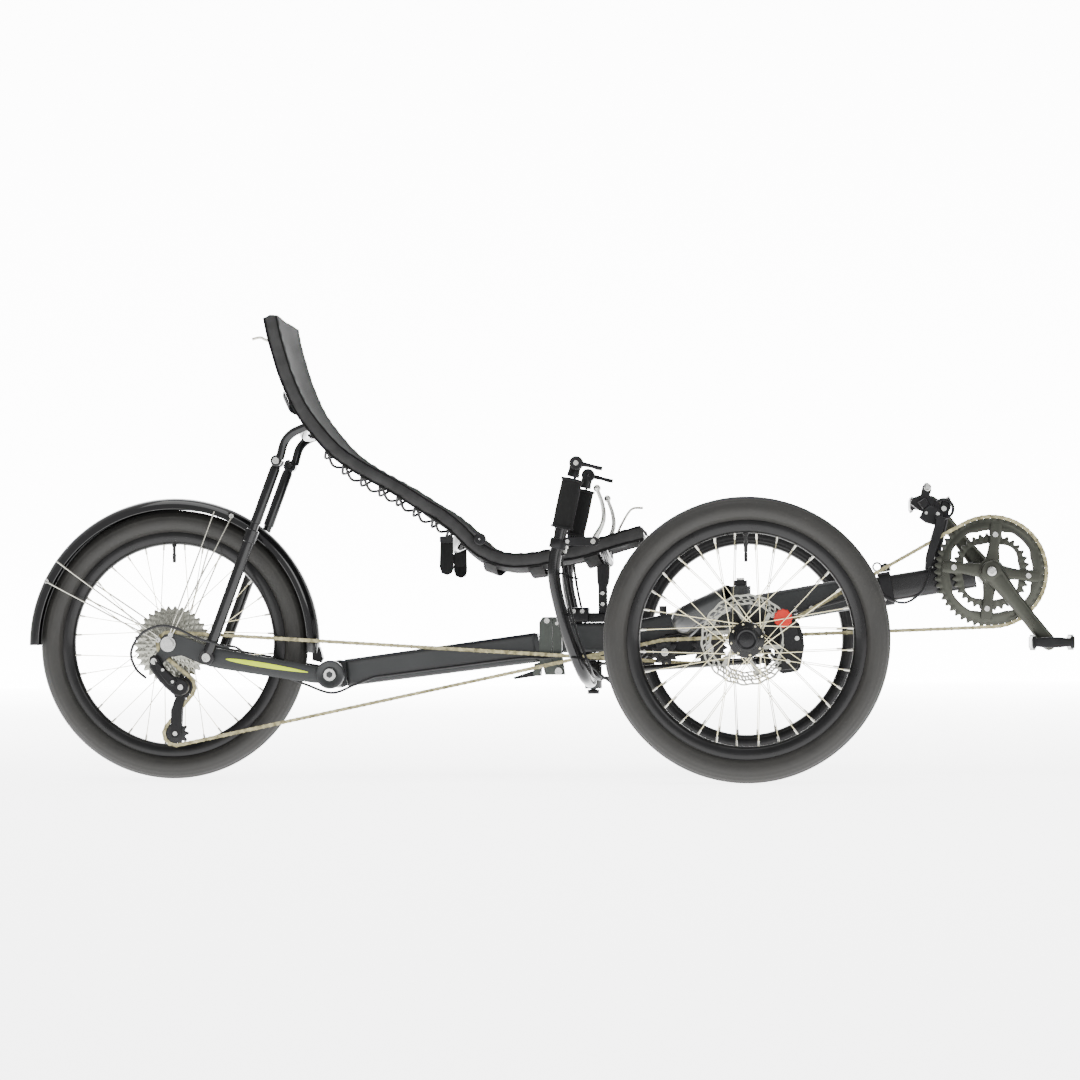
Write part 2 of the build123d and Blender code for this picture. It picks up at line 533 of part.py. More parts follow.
for side in (-1, 1):
    a = (-330, side * 235, 443)
    b = (-308, side * 235, 541)
    grip = rod((-328.2, side * 235, 451), b, 19) - rod(a, (-305.75, side * 235, 551), BAR_R + 0.05)
    grips += list(grip.solids())
    name = "right" if side < 0 else "left"
    shifter = rod((-307.5, side * 235, 543.5), (-303, side * 235, 563), 10.5)
    shifter += pin_y(-301, 568, side * 226, side * 246, 12.5)
    mounts += list(shifter.solids())
    lever = bar((-301, side * 250, 568), (-255, side * 250, 557), 5, 9)
    lever += pin_y(-301, 568, side * 246.2, side * 253, 11)
    save(f"shift_lever_{name}", lever)
    perch = rod((-337, side * 235, 415), (-332.5, side * 235, 433), 15)
    perch += block(-326, -264, side * 229, side * 241, 422, 434)
    perch = perch - block(-284, -255, side * 231.2, side * 238.8, 400, 450)
    perch += pin_y(-272, 428, side * 229, side * 241, 3)
    perch = perch - rod((-339.25, side * 235, 406), (-330.5, side * 235, 441), BAR_R + 0.05)
    mounts += list(perch.solids())
    brake = bar((-270, side * 235, 428), (-252, side * 235, 475), 6, 12)
    brake += bar((-252, side * 235, 475), (-264, side * 235, 523), 6, 9)
    brake += pin_y(-272, 428, side * 232, side * 238, 8)
    brake = brake - pin_y(-272, 428, side * 230, side * 240, 3 + RUN_GAP)
    save(f"brake_lever_{name}", brake)
save("grips", *grips)
save("lever_mounts", *mounts)
for name, side in (("right", -1), ("left", 1)):
    a = Vector(STEER_X + STEER_ARM[0], side * STEER_ARM[1], 196)
    b = Vector(KINGPIN[0] + STEER_ARM[0], side * (KINGPIN[1] + STEER_ARM[1]), 213)
    d = (b - a).normalized()
    tie = rod(a + d * 8, b - d * 8, 5)
    for end in (a, b):
        tie += pin_z(end.X, end.Y, end.Z - 5, end.Z + 5, 9)
    for end in (a, b):
        tie = tie - pin_z(end.X, end.Y, end.Z - 9, end.Z + 9, 3.5 + RUN_GAP)
    save(f"tie_rod_{name}", tie)

# Seat: bent rails with cross tubes, sling, braces and post
rails = []
seat_bends = [60, 90, 110, 120, 120, 90, 70, 120]
for side in (-1, 1):
    rails.append(tube([(x, side * SEAT_Y, z) for x, z in SEAT_LINE], RAIL_R, seat_bends, 1.5))
seat = rails[0] + rails[1]
for x, z in CROSS_TUBES:
    seat += pin_y(x, z, -SEAT_Y, SEAT_Y, 8)
save("seat_frame", seat)
sling_line = [(-848, 840), (-834, 784), (-782, 667), (-725, 600), (-657, 552), (-572, 500), (-479, 422),
              (-417, 399), (-345, 405), (-198, 440)]
sling = side_plate(outline([(x, z, SLING_T) for x, z in sling_line]), -SLING_HALF, SLING_HALF)
for x, z in CROSS_TUBES:
    sling = sling - pin_y(x, z, -160, 160, 8.6)
sling = sling - block(-277, -249, -15, 15, 350, 418)
save("seat_sling", sling)
braces = []
for side in (-1, 1):
    arm = tube([(-788, side * 132, 650), (-840, side * 107.5, 632), (-852, side * 107.5, 588)], 8, [30])
    arm += pin_y(*STRUT_TOP, side * 77, side * 100, 5)
    arm += pin_y(*STRUT_TOP, side * 98, side * 114, 10)
    braces += list(arm.solids())
save("seat_braces", *braces)
post_line = [(-276, 417), (-250, 417), (-252, 360), (-257, 352), (-257, 300), (-273, 300), (-273, 352), (-274, 360)]
seat_post = side_plate(post_line, -14, 14)
seat_post += block(-330, -291, -32, 32, 284.4, 312)
seat_post += block(-291.5, -256, -20, 20, 284.4, 302)
save("seat_post", seat_post)
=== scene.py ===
import math

import bmesh
import bpy
import numpy as np
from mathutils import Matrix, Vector


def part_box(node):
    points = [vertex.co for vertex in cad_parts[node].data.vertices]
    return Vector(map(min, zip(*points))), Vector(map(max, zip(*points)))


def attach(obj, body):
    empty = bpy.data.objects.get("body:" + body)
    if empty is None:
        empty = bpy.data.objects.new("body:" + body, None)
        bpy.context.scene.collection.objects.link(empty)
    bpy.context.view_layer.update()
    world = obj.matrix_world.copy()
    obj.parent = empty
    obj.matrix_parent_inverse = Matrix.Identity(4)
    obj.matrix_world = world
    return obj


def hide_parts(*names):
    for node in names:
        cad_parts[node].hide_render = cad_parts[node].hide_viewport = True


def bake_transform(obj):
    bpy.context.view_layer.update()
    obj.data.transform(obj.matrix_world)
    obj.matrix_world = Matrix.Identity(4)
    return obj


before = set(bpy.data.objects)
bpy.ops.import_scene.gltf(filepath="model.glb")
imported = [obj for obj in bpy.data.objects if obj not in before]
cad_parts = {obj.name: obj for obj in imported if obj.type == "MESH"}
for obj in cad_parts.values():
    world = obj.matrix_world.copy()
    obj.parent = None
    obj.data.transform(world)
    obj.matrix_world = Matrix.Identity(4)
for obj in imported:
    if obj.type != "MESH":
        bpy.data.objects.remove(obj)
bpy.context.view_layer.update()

# The studio: a wide pale floor, a white surround and soft lights, with the camera level with the
# hubs on the rider's right. Lengths here are millimetres from the ground under the front axle.
front_tyre_box = np.array(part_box("front_right_tyre"))
axle_x = front_tyre_box[:, 0].mean()
wheel_r = (front_tyre_box[1, 2] - front_tyre_box[0, 2]) * 500
rear_x = (np.array(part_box("rear_tyre"))[:, 0].mean() - axle_x) * 1000
track_y = abs(front_tyre_box[:, 1].mean()) * 1000


def place(points):
    """Millimetres from the front axle's foot become metres in the part's own frame."""
    return np.asarray(points, float) * 0.001 + (axle_x, 0.0, 0.0)


camera_at = place((0, -6500, 252))
looks_at = place((-381, 0, 438))
camera_data = bpy.data.cameras.new("camera")
camera_data.lens = 117
camera_data.sensor_width = 36
camera_data.clip_end = 200
camera = bpy.data.objects.new("camera", camera_data)
bpy.context.collection.objects.link(camera)
bpy.context.scene.camera = camera
camera.location = camera_at
camera.rotation_euler = (Vector(looks_at) - Vector(camera_at)).to_track_quat("-Z", "Y").to_euler()
camera.rotation_euler.rotate_axis("Z", math.radians(-0.45))


def new_material(name):
    """A node material with its Principled shader, for a finish to build on."""
    material = bpy.data.materials.new(name)
    material.use_nodes = True
    return material, material.node_tree.nodes, material.node_tree.links


def fill(node, **values):
    """Sets a node's sockets, each named with _ for a space."""
    for socket, value in values.items():
        node.inputs[socket.replace("_", " ")].default_value = value


floor_mesh = bpy.data.meshes.new("studio_floor")
reach = 60.0
floor_mesh.from_pydata([(-reach, -reach, 0), (reach, -reach, 0), (reach, reach, 0), (-reach, reach, 0)],
                       [], [(0, 1, 2, 3)])
studio_floor = bpy.data.objects.new("studio_floor", floor_mesh)
bpy.context.collection.objects.link(studio_floor)
floor_finish, nodes, links = new_material("studio_floor")
fill(nodes["Principled BSDF"], Base_Color=(0.93, 0.93, 0.93, 1), Roughness=0.9,
     Emission_Color=(1, 1, 1, 1))
floor_where = nodes.new("ShaderNodeTexCoord")
floor_split = nodes.new("ShaderNodeSeparateXYZ")
links.new(floor_where.outputs["Object"], floor_split.inputs["Vector"])
floor_glow = nodes.new("ShaderNodeMapRange")
fill(floor_glow, From_Min=0.3, From_Max=9.0, To_Min=4.4, To_Max=9.0)
links.new(floor_split.outputs["Y"], floor_glow.inputs["Value"])
links.new(floor_glow.outputs["Result"], nodes["Principled BSDF"].inputs["Emission Strength"])
floor_mesh.materials.append(floor_finish)
wall_mesh = bpy.data.meshes.new("studio_wall")
wall_mesh.from_pydata([(-5, 14, 0), (5, 14, 0), (5, 14, 6), (-5, 14, 6)], [], [(0, 1, 2, 3)])
studio_wall = bpy.data.objects.new("studio_wall", wall_mesh)
bpy.context.collection.objects.link(studio_wall)
wall_finish, nodes, links = new_material("studio_wall")
fill(nodes["Principled BSDF"], Emission_Color=(1, 1, 1, 1), Emission_Strength=9.0)
wall_mesh.materials.append(wall_finish)

world = bpy.data.worlds.new("surround")
world.use_nodes = True
fill(world.node_tree.nodes["Background"], Color=(1, 1, 1, 1), Strength=0.9)
bpy.context.scene.world = world


def soft_light(name, at, towards, size, power):
    """A large square lamp, in metres, facing a point."""
    data = bpy.data.lights.new(name, "AREA")
    data.shape = "SQUARE"
    data.size = size
    data.energy = power
    lamp = bpy.data.objects.new(name, data)
    bpy.context.collection.objects.link(lamp)
    lamp.location = at
    lamp.rotation_euler = (Vector(towards) - Vector(at)).to_track_quat("-Z", "Y").to_euler()


soft_light("light_top", (-0.2, -0.6, 3.6), (-0.1, 0, 0.2), 3.2, 95)
soft_light("light_front", (2.6, -3.4, 2.4), (0, 0, 0.4), 2.0, 60)
soft_light("light_back", (-1.5, 3.6, 2.6), (0, 0, 0.4), 2.4, 60)

# Tyres: three 47-406 slicks with a fine knurled tread. Each is moulded rubber on a steel-bead
# casing, made here as a ring whose tread carries small raised lozenges and two side grooves.


def quads(rows, columns, around, along):
    """The four corners of each cell in a grid, as index rows; around and along join last to first."""
    r = np.arange(rows if along else rows - 1)
    c = np.arange(columns if around else columns - 1)
    r0, c0 = np.meshgrid(r, c, indexing="ij")
    r1 = (r0 + 1) % rows
    c1 = (c0 + 1) % columns
    return np.stack([r0 * columns + c0, r0 * columns + c1, r1 * columns + c1, r1 * columns + c0],
                    -1).reshape(-1, 4)


def grid_shell(points, around=False, along=False, ends=False):
    """A grid of points, rows by columns by xyz, as a shell; ends caps the first and last rows."""
    points = np.asarray(points, float)
    rows, columns = points.shape[:2]
    faces = [quads(rows, columns, around, along)]
    if ends:
        faces.append(np.arange(columns)[::-1][None, :])
        faces.append((rows - 1) * columns + np.arange(columns)[None, :])
    return points.reshape(-1, 3), faces


def join(shells):
    """Several shells as one, their faces renumbered."""
    verts = []
    faces = []
    count = 0
    for v, fs in shells:
        verts.append(v)
        faces += [f + count for f in fs]
        count += len(v)
    return np.concatenate(verts), faces


def piece(name, shell, material, body, smooth=True, stands_for=()):
    """Turns a shell in millimetres into an object that rides on a body, its faces turned outwards."""
    verts, faces = shell
    mesh = bpy.data.meshes.new(name)
    loops = np.concatenate([f.reshape(-1) for f in faces])
    sizes = np.concatenate([np.full(len(f), f.shape[1]) for f in faces])
    starts = np.concatenate([[0], np.cumsum(sizes)[:-1]])
    mesh.vertices.add(len(verts))
    mesh.vertices.foreach_set("co", place(verts).astype(np.float32).reshape(-1))
    mesh.loops.add(len(loops))
    mesh.loops.foreach_set("vertex_index", loops.astype(np.int32))
    mesh.polygons.add(len(sizes))
    mesh.polygons.foreach_set("loop_start", starts.astype(np.int32))
    mesh.polygons.foreach_set("use_smooth", np.full(len(sizes), smooth))
    mesh.update(calc_edges=True)
    mesh.validate()
    work = bmesh.new()
    work.from_mesh(mesh)
    bmesh.ops.recalc_face_normals(work, faces=work.faces)
    work.to_mesh(mesh)
    work.free()
    if smooth:
        mesh.set_sharp_from_angle(angle=math.radians(38))
    mesh.materials.append(material)
    made = bpy.data.objects.new(name, mesh)
    bpy.context.collection.objects.link(made)
    if body:
        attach(made, body)
    if stands_for:
        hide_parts(*stands_for)
    return made


def lathe(profile, x, z, y=0.0, steps=128, start=0.0, turn=360.0):
    """A (radius, y) profile carried round a cross axis: x = r cos a, z = r sin a, for each angle a."""
    profile = np.asarray(profile, float)
    whole = turn >= 360.0
    angles = np.radians(start + np.linspace(0, turn, steps, endpoint=not whole))
    r = profile[None, :, 0]
    points = np.stack([x + r * np.cos(angles)[:, None],
                       y + np.broadcast_to(profile[None, :, 1], (steps, len(profile))),
                       z + r * np.sin(angles)[:, None]], -1)
    return grid_shell(points, around=True, along=whole, ends=not whole)


def mottled(name, colour, rough, metal=0.0, scale=60.0, spread=0.12, bump=0.15, bump_scale=900.0,
            coat=0.0, rough_spread=0.1, specular=0.2):
    """A finish whose colour and roughness drift slowly, over a fine grain that lifts the surface."""
    material, nodes, links = new_material(name)
    shader = nodes["Principled BSDF"]
    fill(shader, Metallic=metal, Coat_Weight=coat, Coat_Roughness=0.06, Specular_IOR_Level=specular)
    where = nodes.new("ShaderNodeTexCoord")
    slow = nodes.new("ShaderNodeTexNoise")
    fill(slow, Scale=scale, Detail=5)
    links.new(where.outputs["Object"], slow.inputs["Vector"])
    tint = nodes.new("ShaderNodeValToRGB")
    dark = [c * (1 - spread) for c in colour]
    light = [min(1, c * (1 + spread)) for c in colour]
    tint.color_ramp.elements[0].position = 0.3
    tint.color_ramp.elements[0].color = (*dark, 1)
    tint.color_ramp.elements[1].position = 0.7
    tint.color_ramp.elements[1].color = (*light, 1)
    links.new(slow.outputs["Fac"], tint.inputs["Fac"])
    links.new(tint.outputs["Color"], shader.inputs["Base Color"])
    polish = nodes.new("ShaderNodeMapRange")
    fill(polish, To_Min=max(0.02, rough - rough_spread), To_Max=min(1, rough + rough_spread))
    links.new(slow.outputs["Fac"], polish.inputs["Value"])
    links.new(polish.outputs["Result"], shader.inputs["Roughness"])
    grain = nodes.new("ShaderNodeTexNoise")
    fill(grain, Scale=bump_scale, Detail=3)
    links.new(where.outputs["Object"], grain.inputs["Vector"])
    lift = nodes.new("ShaderNodeBump")
    fill(lift, Strength=bump, Distance=0.0004)
    links.new(grain.outputs["Fac"], lift.inputs["Height"])
    links.new(lift.outputs["Normal"], shader.inputs["Normal"])
    return material


tyre_w = (front_tyre_box[1, 1] - front_tyre_box[0, 1]) * 1000
tyre_rubber = mottled("tyre_rubber", (0.0078, 0.0074, 0.0062), 0.62, scale=35, spread=0.25, bump=0.25,
                      bump_scale=1500, specular=0.35)


def tyre_ring(x, y):
    """A ring whose section is a squashed circle, r = R - h + h cos b, with the tread's lozenges lifted by
    the product of two slanted waves, and a moulded line where the tread meets the sidewall."""
    around = 720
    section = 72
    a = np.linspace(0, 2 * np.pi, around, endpoint=False)[:, None]
    b = np.linspace(-np.pi, np.pi, section, endpoint=False)[None, :]
    half = tyre_w / 2
    tread = np.clip((np.cos(b) - 0.34) / 0.15, 0, 1)
    lozenge = np.clip(np.sin(150 * a + 9 * b) * np.sin(150 * a - 9 * b) * 2.2, -1, 1)
    centre_line = np.exp(-((b / 0.07) ** 2))
    shoulder = np.exp(-(((np.abs(b)
                          - 1.22) / 0.035) ** 2)) + 0.7 * np.exp(-(((np.abs(b) - 1.9) / 0.03) ** 2))
    lift = 0.45 * tread * lozenge * (1 - centre_line) - 0.5 * tread * centre_line - 0.55 * shoulder - 0.45
    sag = 1 + 0.04 * np.cos(2 * b)
    bead = np.clip(-np.cos(b) - 0.55, 0, 1)
    r = wheel_r - half + (half + lift) * np.cos(b) * sag + bead * 4
    r = np.minimum(r, wheel_r)
    side = (half - 0.3 + lift * 0.8) * np.sin(b) * (1 - 0.55 * bead)
    side = np.clip(side, -half, half)
    r, side = np.broadcast_arrays(r + 0 * a, side + 0 * a)
    return grid_shell(np.stack([x + r * np.cos(a), y + side, wheel_r + r * np.sin(a)], -1), around=True,
                      along=True)


wheels = {"front_right": (0.0, -track_y, "front_wheel_right", -1),
          "front_left": (0.0, track_y, "front_wheel_left", 1), "rear": (rear_x, 0.0, "rear_wheel", 1)}
for name, (x, y, body, out) in wheels.items():
    piece(f"{name}_tyre_rubber", tyre_ring(x, y), tyre_rubber, body, stands_for=[f"{name}_tyre"])

# Rims: black anodised aluminium hoops with hooked edges that hold the tyre. The real ones are extruded
# and rolled round; here the section is drawn once and turned round each axle.
rim_black = mottled("rim_black", (0.004, 0.004, 0.0042), 0.3, metal=0.3, scale=25, spread=0.3,
                    bump=0.06, coat=0.12)
bright_steel = mottled("bright_steel", (0.4, 0.39, 0.34), 0.24, metal=1.0, scale=120, spread=0.08,
                       bump=0.05)
rim_section = [(185.5, 0), (186.5, 5), (189, 9), (193, 11.6), (199, 12.2), (206.5, 12.4), (208.2, 12.0),
               (208.6, 11.2), (207, 10.4), (201, 10.2), (199, 8), (198, 0), (199, -8), (201, -10.2),
               (207, -10.4), (208.6, -11.2), (208.2, -12.0), (206.5, -12.4), (199, -12.2), (193, -11.6),
               (189, -9), (186.5, -5)]
for name, (x, y, body, out) in wheels.items():
    piece(f"{name}_rim_hoop", lathe(rim_section, x, wheel_r, y, steps=240), rim_black, body,
          stands_for=[f"{name}_rim"])

# Spokes: thirty-two bright steel spokes a wheel, laced three-cross, each hooked into its hub flange
# and held at the rim by a long nickel nipple.


def along_path(path, radius, sides=10, up=(0, 1, 0)):
    """A circle carried along a path: each ring lies square to the path's direction, and starts from the
    side that is square to both that direction and up."""
    path = np.asarray(path, float)
    ahead = np.gradient(path, axis=0)
    ahead /= np.linalg.norm(ahead, axis=1, keepdims=True)
    side = np.cross(np.broadcast_to(up, path.shape), ahead)
    side /= np.linalg.norm(side, axis=1, keepdims=True)
    top = np.cross(ahead, side)
    a = np.linspace(0, 2 * np.pi, sides, endpoint=False)
    r = np.broadcast_to(radius, len(path))[:, None, None]
    ring = np.cos(a)[None, :, None] * side[:, None] + np.sin(a)[None, :, None] * top[:, None]
    return grid_shell(path[:, None] + r * ring, around=True, ends=True)


def many_rods(starts, ends, stations, sides=6):
    """Straight round rods between pairs of points; stations lists (share of the length, radius)."""
    starts = np.asarray(starts, float)
    ahead = np.asarray(ends, float) - starts
    unit = ahead / np.linalg.norm(ahead, axis=1, keepdims=True)
    guide = np.where(np.abs(unit[:, :1]) < 0.9, [[1.0, 0, 0]], [[0, 0, 1.0]])
    side = np.cross(guide, unit)
    side /= np.linalg.norm(side, axis=1, keepdims=True)
    top = np.cross(unit, side)
    a = np.linspace(0, 2 * np.pi, sides, endpoint=False)
    ring = np.cos(a)[None, :, None] * side[:, None] + np.sin(a)[None, :, None] * top[:, None]
    shares = np.array([s for s, r in stations])
    radii = np.array([r for s, r in stations])
    points = (starts + 0 * ahead)[:, None, None] + shares[None, :, None, None] * ahead[:, None, None]
    points = points + radii[None, :, None, None] * ring[:, None]
    return join([grid_shell(p, around=True, ends=True) for p in points])


spoke_count = 32
flange_r = 27.0
nipple_r = 190.0
spoke_nickel = mottled("spoke_nickel", (0.5, 0.46, 0.3), 0.24, metal=1.0, scale=200, spread=0.06,
                       bump=0.02)


def lacing(x, y, out):
    """Start and end of each spoke: holes spread evenly round both flanges, each spoke leading or trailing
    its rim hole by three crossings."""
    i = np.arange(spoke_count)
    side = np.where(i % 2 == 0, -1, 1)
    lead = np.radians(np.where(i % 4 < 2, 61, -61))
    rim_a = 2 * np.pi * (i + 0.5) / spoke_count
    hub_a = rim_a + lead
    left, right = (34, -22) if x < -500 else (max(y + out * 26, y - out * 20),
                                              min(y + out * 26, y - out * 20))
    flange = np.where(side > 0, left, right) + np.where(i % 4 < 2, 1.2, -1.2)
    starts = np.stack([x + flange_r * np.cos(hub_a), flange, wheel_r + flange_r * np.sin(hub_a)], -1)
    ends = np.stack([x + nipple_r * np.cos(rim_a), y + side * 3.0, wheel_r + nipple_r * np.sin(rim_a)],
                    -1)
    return starts, ends


for name, (x, y, body, out) in wheels.items():
    starts, ends = lacing(x, y, out)
    wires = many_rods(starts, ends, [(0, 1.0), (0.12, 1.0), (0.2, 0.85), (0.8, 0.85), (0.88, 1.0),
                                     (0.925, 1.0)])
    nipples = many_rods(starts, ends, [(0.92, 1.5), (0.93, 1.9), (0.985, 2.1), (0.99, 2.5), (1.0, 2.5)],
                        sides=8)
    along_y = np.stack([0 * starts[:, 0], np.sign(starts[:, 1] - y), 0 * starts[:, 0]], -1)
    heads = many_rods(starts - along_y * 2.0, starts + along_y * 2.6,
                      [(0, 1.6), (0.2, 2.2), (0.8, 2.2), (1, 1.2)], 8)
    piece(f"{name}_spokes", join([wires, heads]), spoke_nickel, body)
    piece(f"{name}_nipples", nipples, bright_steel, body)

# Hubs: black anodised aluminium shells, each turned in one piece with two flanges for the spokes. The
# front pair carry a domed cap over the axle nut; the rear one runs on a solid axle.
hub_black = mottled("hub_black", (0.005, 0.005, 0.0055), 0.28, metal=0.4, scale=40, spread=0.3,
                    bump=0.05, coat=0.1)
for name, (x, y, body, out) in wheels.items():
    if name == "rear":
        section = [(9, -28.5), (15, -28.5), (16, -26), (17, -24.5), (31, -24), (31.6, -22), (31, -20),
                   (20, -18.5), (17, -10), (15.5, 5), (17, 20), (20, 30.5), (31, 32), (31.6, 34),
                   (31, 36), (20, 37.5), (17, 44), (16.5, 56), (15, 58), (9, 58)]
    else:
        section = [(9, -30), (15, -30), (16, -26), (24, -23.5), (31, -22.5), (31.6, -20), (31, -18),
                   (20, -15), (16.5, -6), (15.5, 3), (16.5, 12), (20, 21), (31, 24), (31.6, 26),
                   (31, 28), (24, 29.5), (21.6, 31), (21.6, 34.5), (20.6, 36.3), (17, 37.2), (16, 36.2),
                   (14, 35.8), (13, 36.8), (4, 37.4), (0.05, 37.4), (0.05, 30), (9, 27)]
        section = [(r, out * s) for r, s in section]
    piece(f"{name}_hub_shell", lathe(section, x, wheel_r, y, steps=96), hub_black, body,
          stands_for=[f"{name}_hub"])

# Valves: a rubber-coated stem through each rim with a black plastic dust cap, at the top of the wheel.
# Each is a short round post whose rings step out for the foot and the cap.
valve_black = mottled("valve_black", (0.005, 0.005, 0.005), 0.5, scale=80)
for name, (x, y, body, out) in wheels.items():
    foot = wheel_r + 187
    tip = wheel_r + 152
    stem = many_rods([(x, y, foot)], [(x, y, tip)], [(0, 4.6), (0.12, 4.6), (0.16, 3.0), (0.45, 3.0),
                                                     (0.5, 2.6), (0.52, 3.6), (0.95, 3.4), (1.0, 2.4)],
                     sides=20)
    piece(f"{name}_valve", stem, valve_black, body)

# Brake discs: 160 mm stainless rotors with a slotted track and six swept arms, on a black centre carrier
# that bolts to the hub. The track is rings joined by short slanted bars, which leave the slots open.
disc_steel = mottled("disc_steel", (0.26, 0.26, 0.23), 0.3, metal=1.0, scale=90, spread=0.1, bump=0.1,
                     bump_scale=2500)


def flat_ring(x, z, y, inner, outer, thick, wave=0.0, waves=0):
    """A flat washer with an edge that may wave in and out: r = R + wave sin(n a)."""
    a = np.linspace(0, 2 * np.pi, 240, endpoint=False)[:, None]
    r = np.array([[inner, inner, outer, outer]]) + wave * np.sin(waves * a)
    s = np.array([[-1, 1, 1, -1]]) * thick / 2 + 0 * a
    return grid_shell(np.stack([x + r * np.cos(a), y + s, z + r * np.sin(a)], -1), around=True,
                      along=True)


def swept_webs(x, z, y, inner, outer, count, lead, width, thick, first=0.0):
    """Flat bars from an inner to an outer radius, each ending a lead angle further round."""
    a0 = first + 2 * np.pi * np.arange(count) / count
    start = np.stack([x + inner * np.cos(a0), np.full(count, y), z + inner * np.sin(a0)], -1)
    end = np.stack([x + outer * np.cos(a0 + lead), np.full(count, y), z + outer * np.sin(a0 + lead)], -1)
    ahead = (end - start) / np.linalg.norm(end - start, axis=1, keepdims=True)
    side = np.cross([0, 1, 0], ahead) * width / 2
    deep = np.array([0, thick / 2, 0])
    bars = []
    for s, e, w in zip(start, end, side):
        ring = np.array([[p - w - deep, p - w + deep, p + w + deep, p + w - deep] for p in (s, e)])
        bars.append(grid_shell(ring, around=True, ends=True))
    return join(bars)


for name in ("front_right", "front_left"):
    x, y, body, out = wheels[name]
    yd = y - out * 33
    disc = join([flat_ring(x, wheel_r, yd, 76.5, 80, 1.8, 0.9, 18),
                 flat_ring(x, wheel_r, yd, 62, 65.5, 1.8, 0.8, 18),
                 flat_ring(x, wheel_r, yd, 70, 71.5, 1.7),
                 swept_webs(x, wheel_r, yd, 64, 78, 36, 0.16, 3.2, 1.7),
                 swept_webs(x, wheel_r, yd, 20, 64, 6, 0.55, 7, 1.8, 0.3)])
    carrier = lathe([(12, -2.8), (22, -2.8), (24, -1.6), (24, 1.6), (22, 2.8), (12, 2.8)], x, wheel_r,
                    yd, steps=60)
    side = name.split("_")[1]
    piece(f"{side}_disc", disc, disc_steel, body, smooth=False, stands_for=[f"{name}_rotor"])
    piece(f"{side}_disc_carrier", carrier, hub_black, body)

# Main frame: the folding beam and its outriggers are welded aluminium tube under satin charcoal paint.
# The beams keep their designed shape; the paint has a fine orange peel and a faint metal fleck.
charcoal_paint = mottled("charcoal_paint", (0.0165, 0.0175, 0.018), 0.36, metal=0.25, scale=14,
                         spread=0.12, bump=0.12, bump_scale=700, coat=0.1, rough_spread=0.06)


def finish_node(node, material):
    """Gives a designed part its better finish."""
    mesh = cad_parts[node].data
    mesh.materials.clear()
    mesh.materials.append(material)


for node in ("main_beam", "outrigger_right", "outrigger_left", "rear_beam"):
    finish_node(node, charcoal_paint)


def carried(path, width, height, power=5.0, up=(0, 1, 0), sides=36):
    """A rounded oblong carried along a path: each half-width times the 2/power-th power of cosine and
    sine, so a power of 2 is an ellipse and a high power nearly a rectangle. Width lies along up, height
    square to it and to the path; both may change along the path."""
    path = np.asarray(path, float)
    ahead = np.gradient(path, axis=0)
    ahead /= np.linalg.norm(ahead, axis=1, keepdims=True)
    top = np.cross(ahead, np.broadcast_to(up, path.shape))
    top /= np.linalg.norm(top, axis=1, keepdims=True)
    side = np.cross(top, ahead)
    a = np.linspace(0, 2 * np.pi, sides, endpoint=False) + np.pi / sides
    c = np.sign(np.cos(a)) * np.abs(np.cos(a)) ** (2 / power)
    s = np.sign(np.sin(a)) * np.abs(np.sin(a)) ** (2 / power)
    w = np.broadcast_to(width, len(path))[:, None, None] / 2
    h = np.broadcast_to(height, len(path))[:, None, None] / 2
    points = path[:, None] + w * c[None, :, None] * side[:, None] + h * s[None, :, None] * top[:, None]
    return grid_shell(points, around=True, ends=True)


def plate(outline, y0, y1, edge=1.0):
    """A flat plate with a side outline of (x, z) points and edges eased by a small chamfer: four copies
    of the outline, the outer two drawn in along the bisector of each corner."""
    p = np.asarray(outline, float)
    before = p - np.roll(p, 1, 0)
    after = np.roll(p, -1, 0) - p
    n = before / np.linalg.norm(before, axis=1,
                                keepdims=True) + after / np.linalg.norm(after, axis=1, keepdims=True)
    n = np.stack([-n[:, 1], n[:, 0]], -1)
    n /= np.linalg.norm(n, axis=1, keepdims=True)
    area = np.sum(p[:, 0] * np.roll(p[:, 1], -1) - np.roll(p[:, 0], -1) * p[:, 1])
    inner = p + n * edge * np.sign(area)
    rows = []
    for shape, y in ((inner, y0), (p, y0 + edge * np.sign(y1 - y0)), (p, y1 - edge * np.sign(y1 - y0)),
                     (inner, y1)):
        rows.append(np.stack([shape[:, 0], np.full(len(p), y), shape[:, 1]], -1))
    return grid_shell(np.array(rows), around=True, ends=True)


def bent(points, bend, steps=7):
    """Straight runs with each corner replaced by a quadratic curve between two points at most bend
    millimetres from it."""
    points = np.asarray(points, float)
    t = np.linspace(0, 1, steps)[:, None]
    rows = [points[:1]]
    for before, corner, after in zip(points[:-2], points[1:-1], points[2:]):
        a = corner + (before - corner) * min(0.48, bend / np.linalg.norm(before - corner))
        b = corner + (after - corner) * min(0.48, bend / np.linalg.norm(after - corner))
        rows.append((1 - t) ** 2 * a + 2 * t * (1 - t) * corner + t ** 2 * b)
    return np.concatenate(rows + [points[-1:]])


def flowing(points, per=8):
    """A smooth curve through every point: between each pair, the cubic whose slope at a point is half
    the chord between its two neighbours."""
    p = np.asarray(points, float)
    q = np.concatenate([2 * p[:1] - p[1:2], p, 2 * p[-1:] - p[-2:-1]])
    t = np.linspace(0, 1, per, endpoint=False)[None, :, None]
    a, b, c, d = q[:-3, None], q[1:-2, None], q[2:-1, None], q[3:, None]
    curve = 0.5 * (2 * b + (c - a) * t + (2 * a - 5 * b + 4 * c - d) * t ** 2 + (3 * b - a - 3 * c + d)
                   * t ** 3)
    return np.concatenate([curve.reshape(-1, p.shape[1]), p[-1:]])

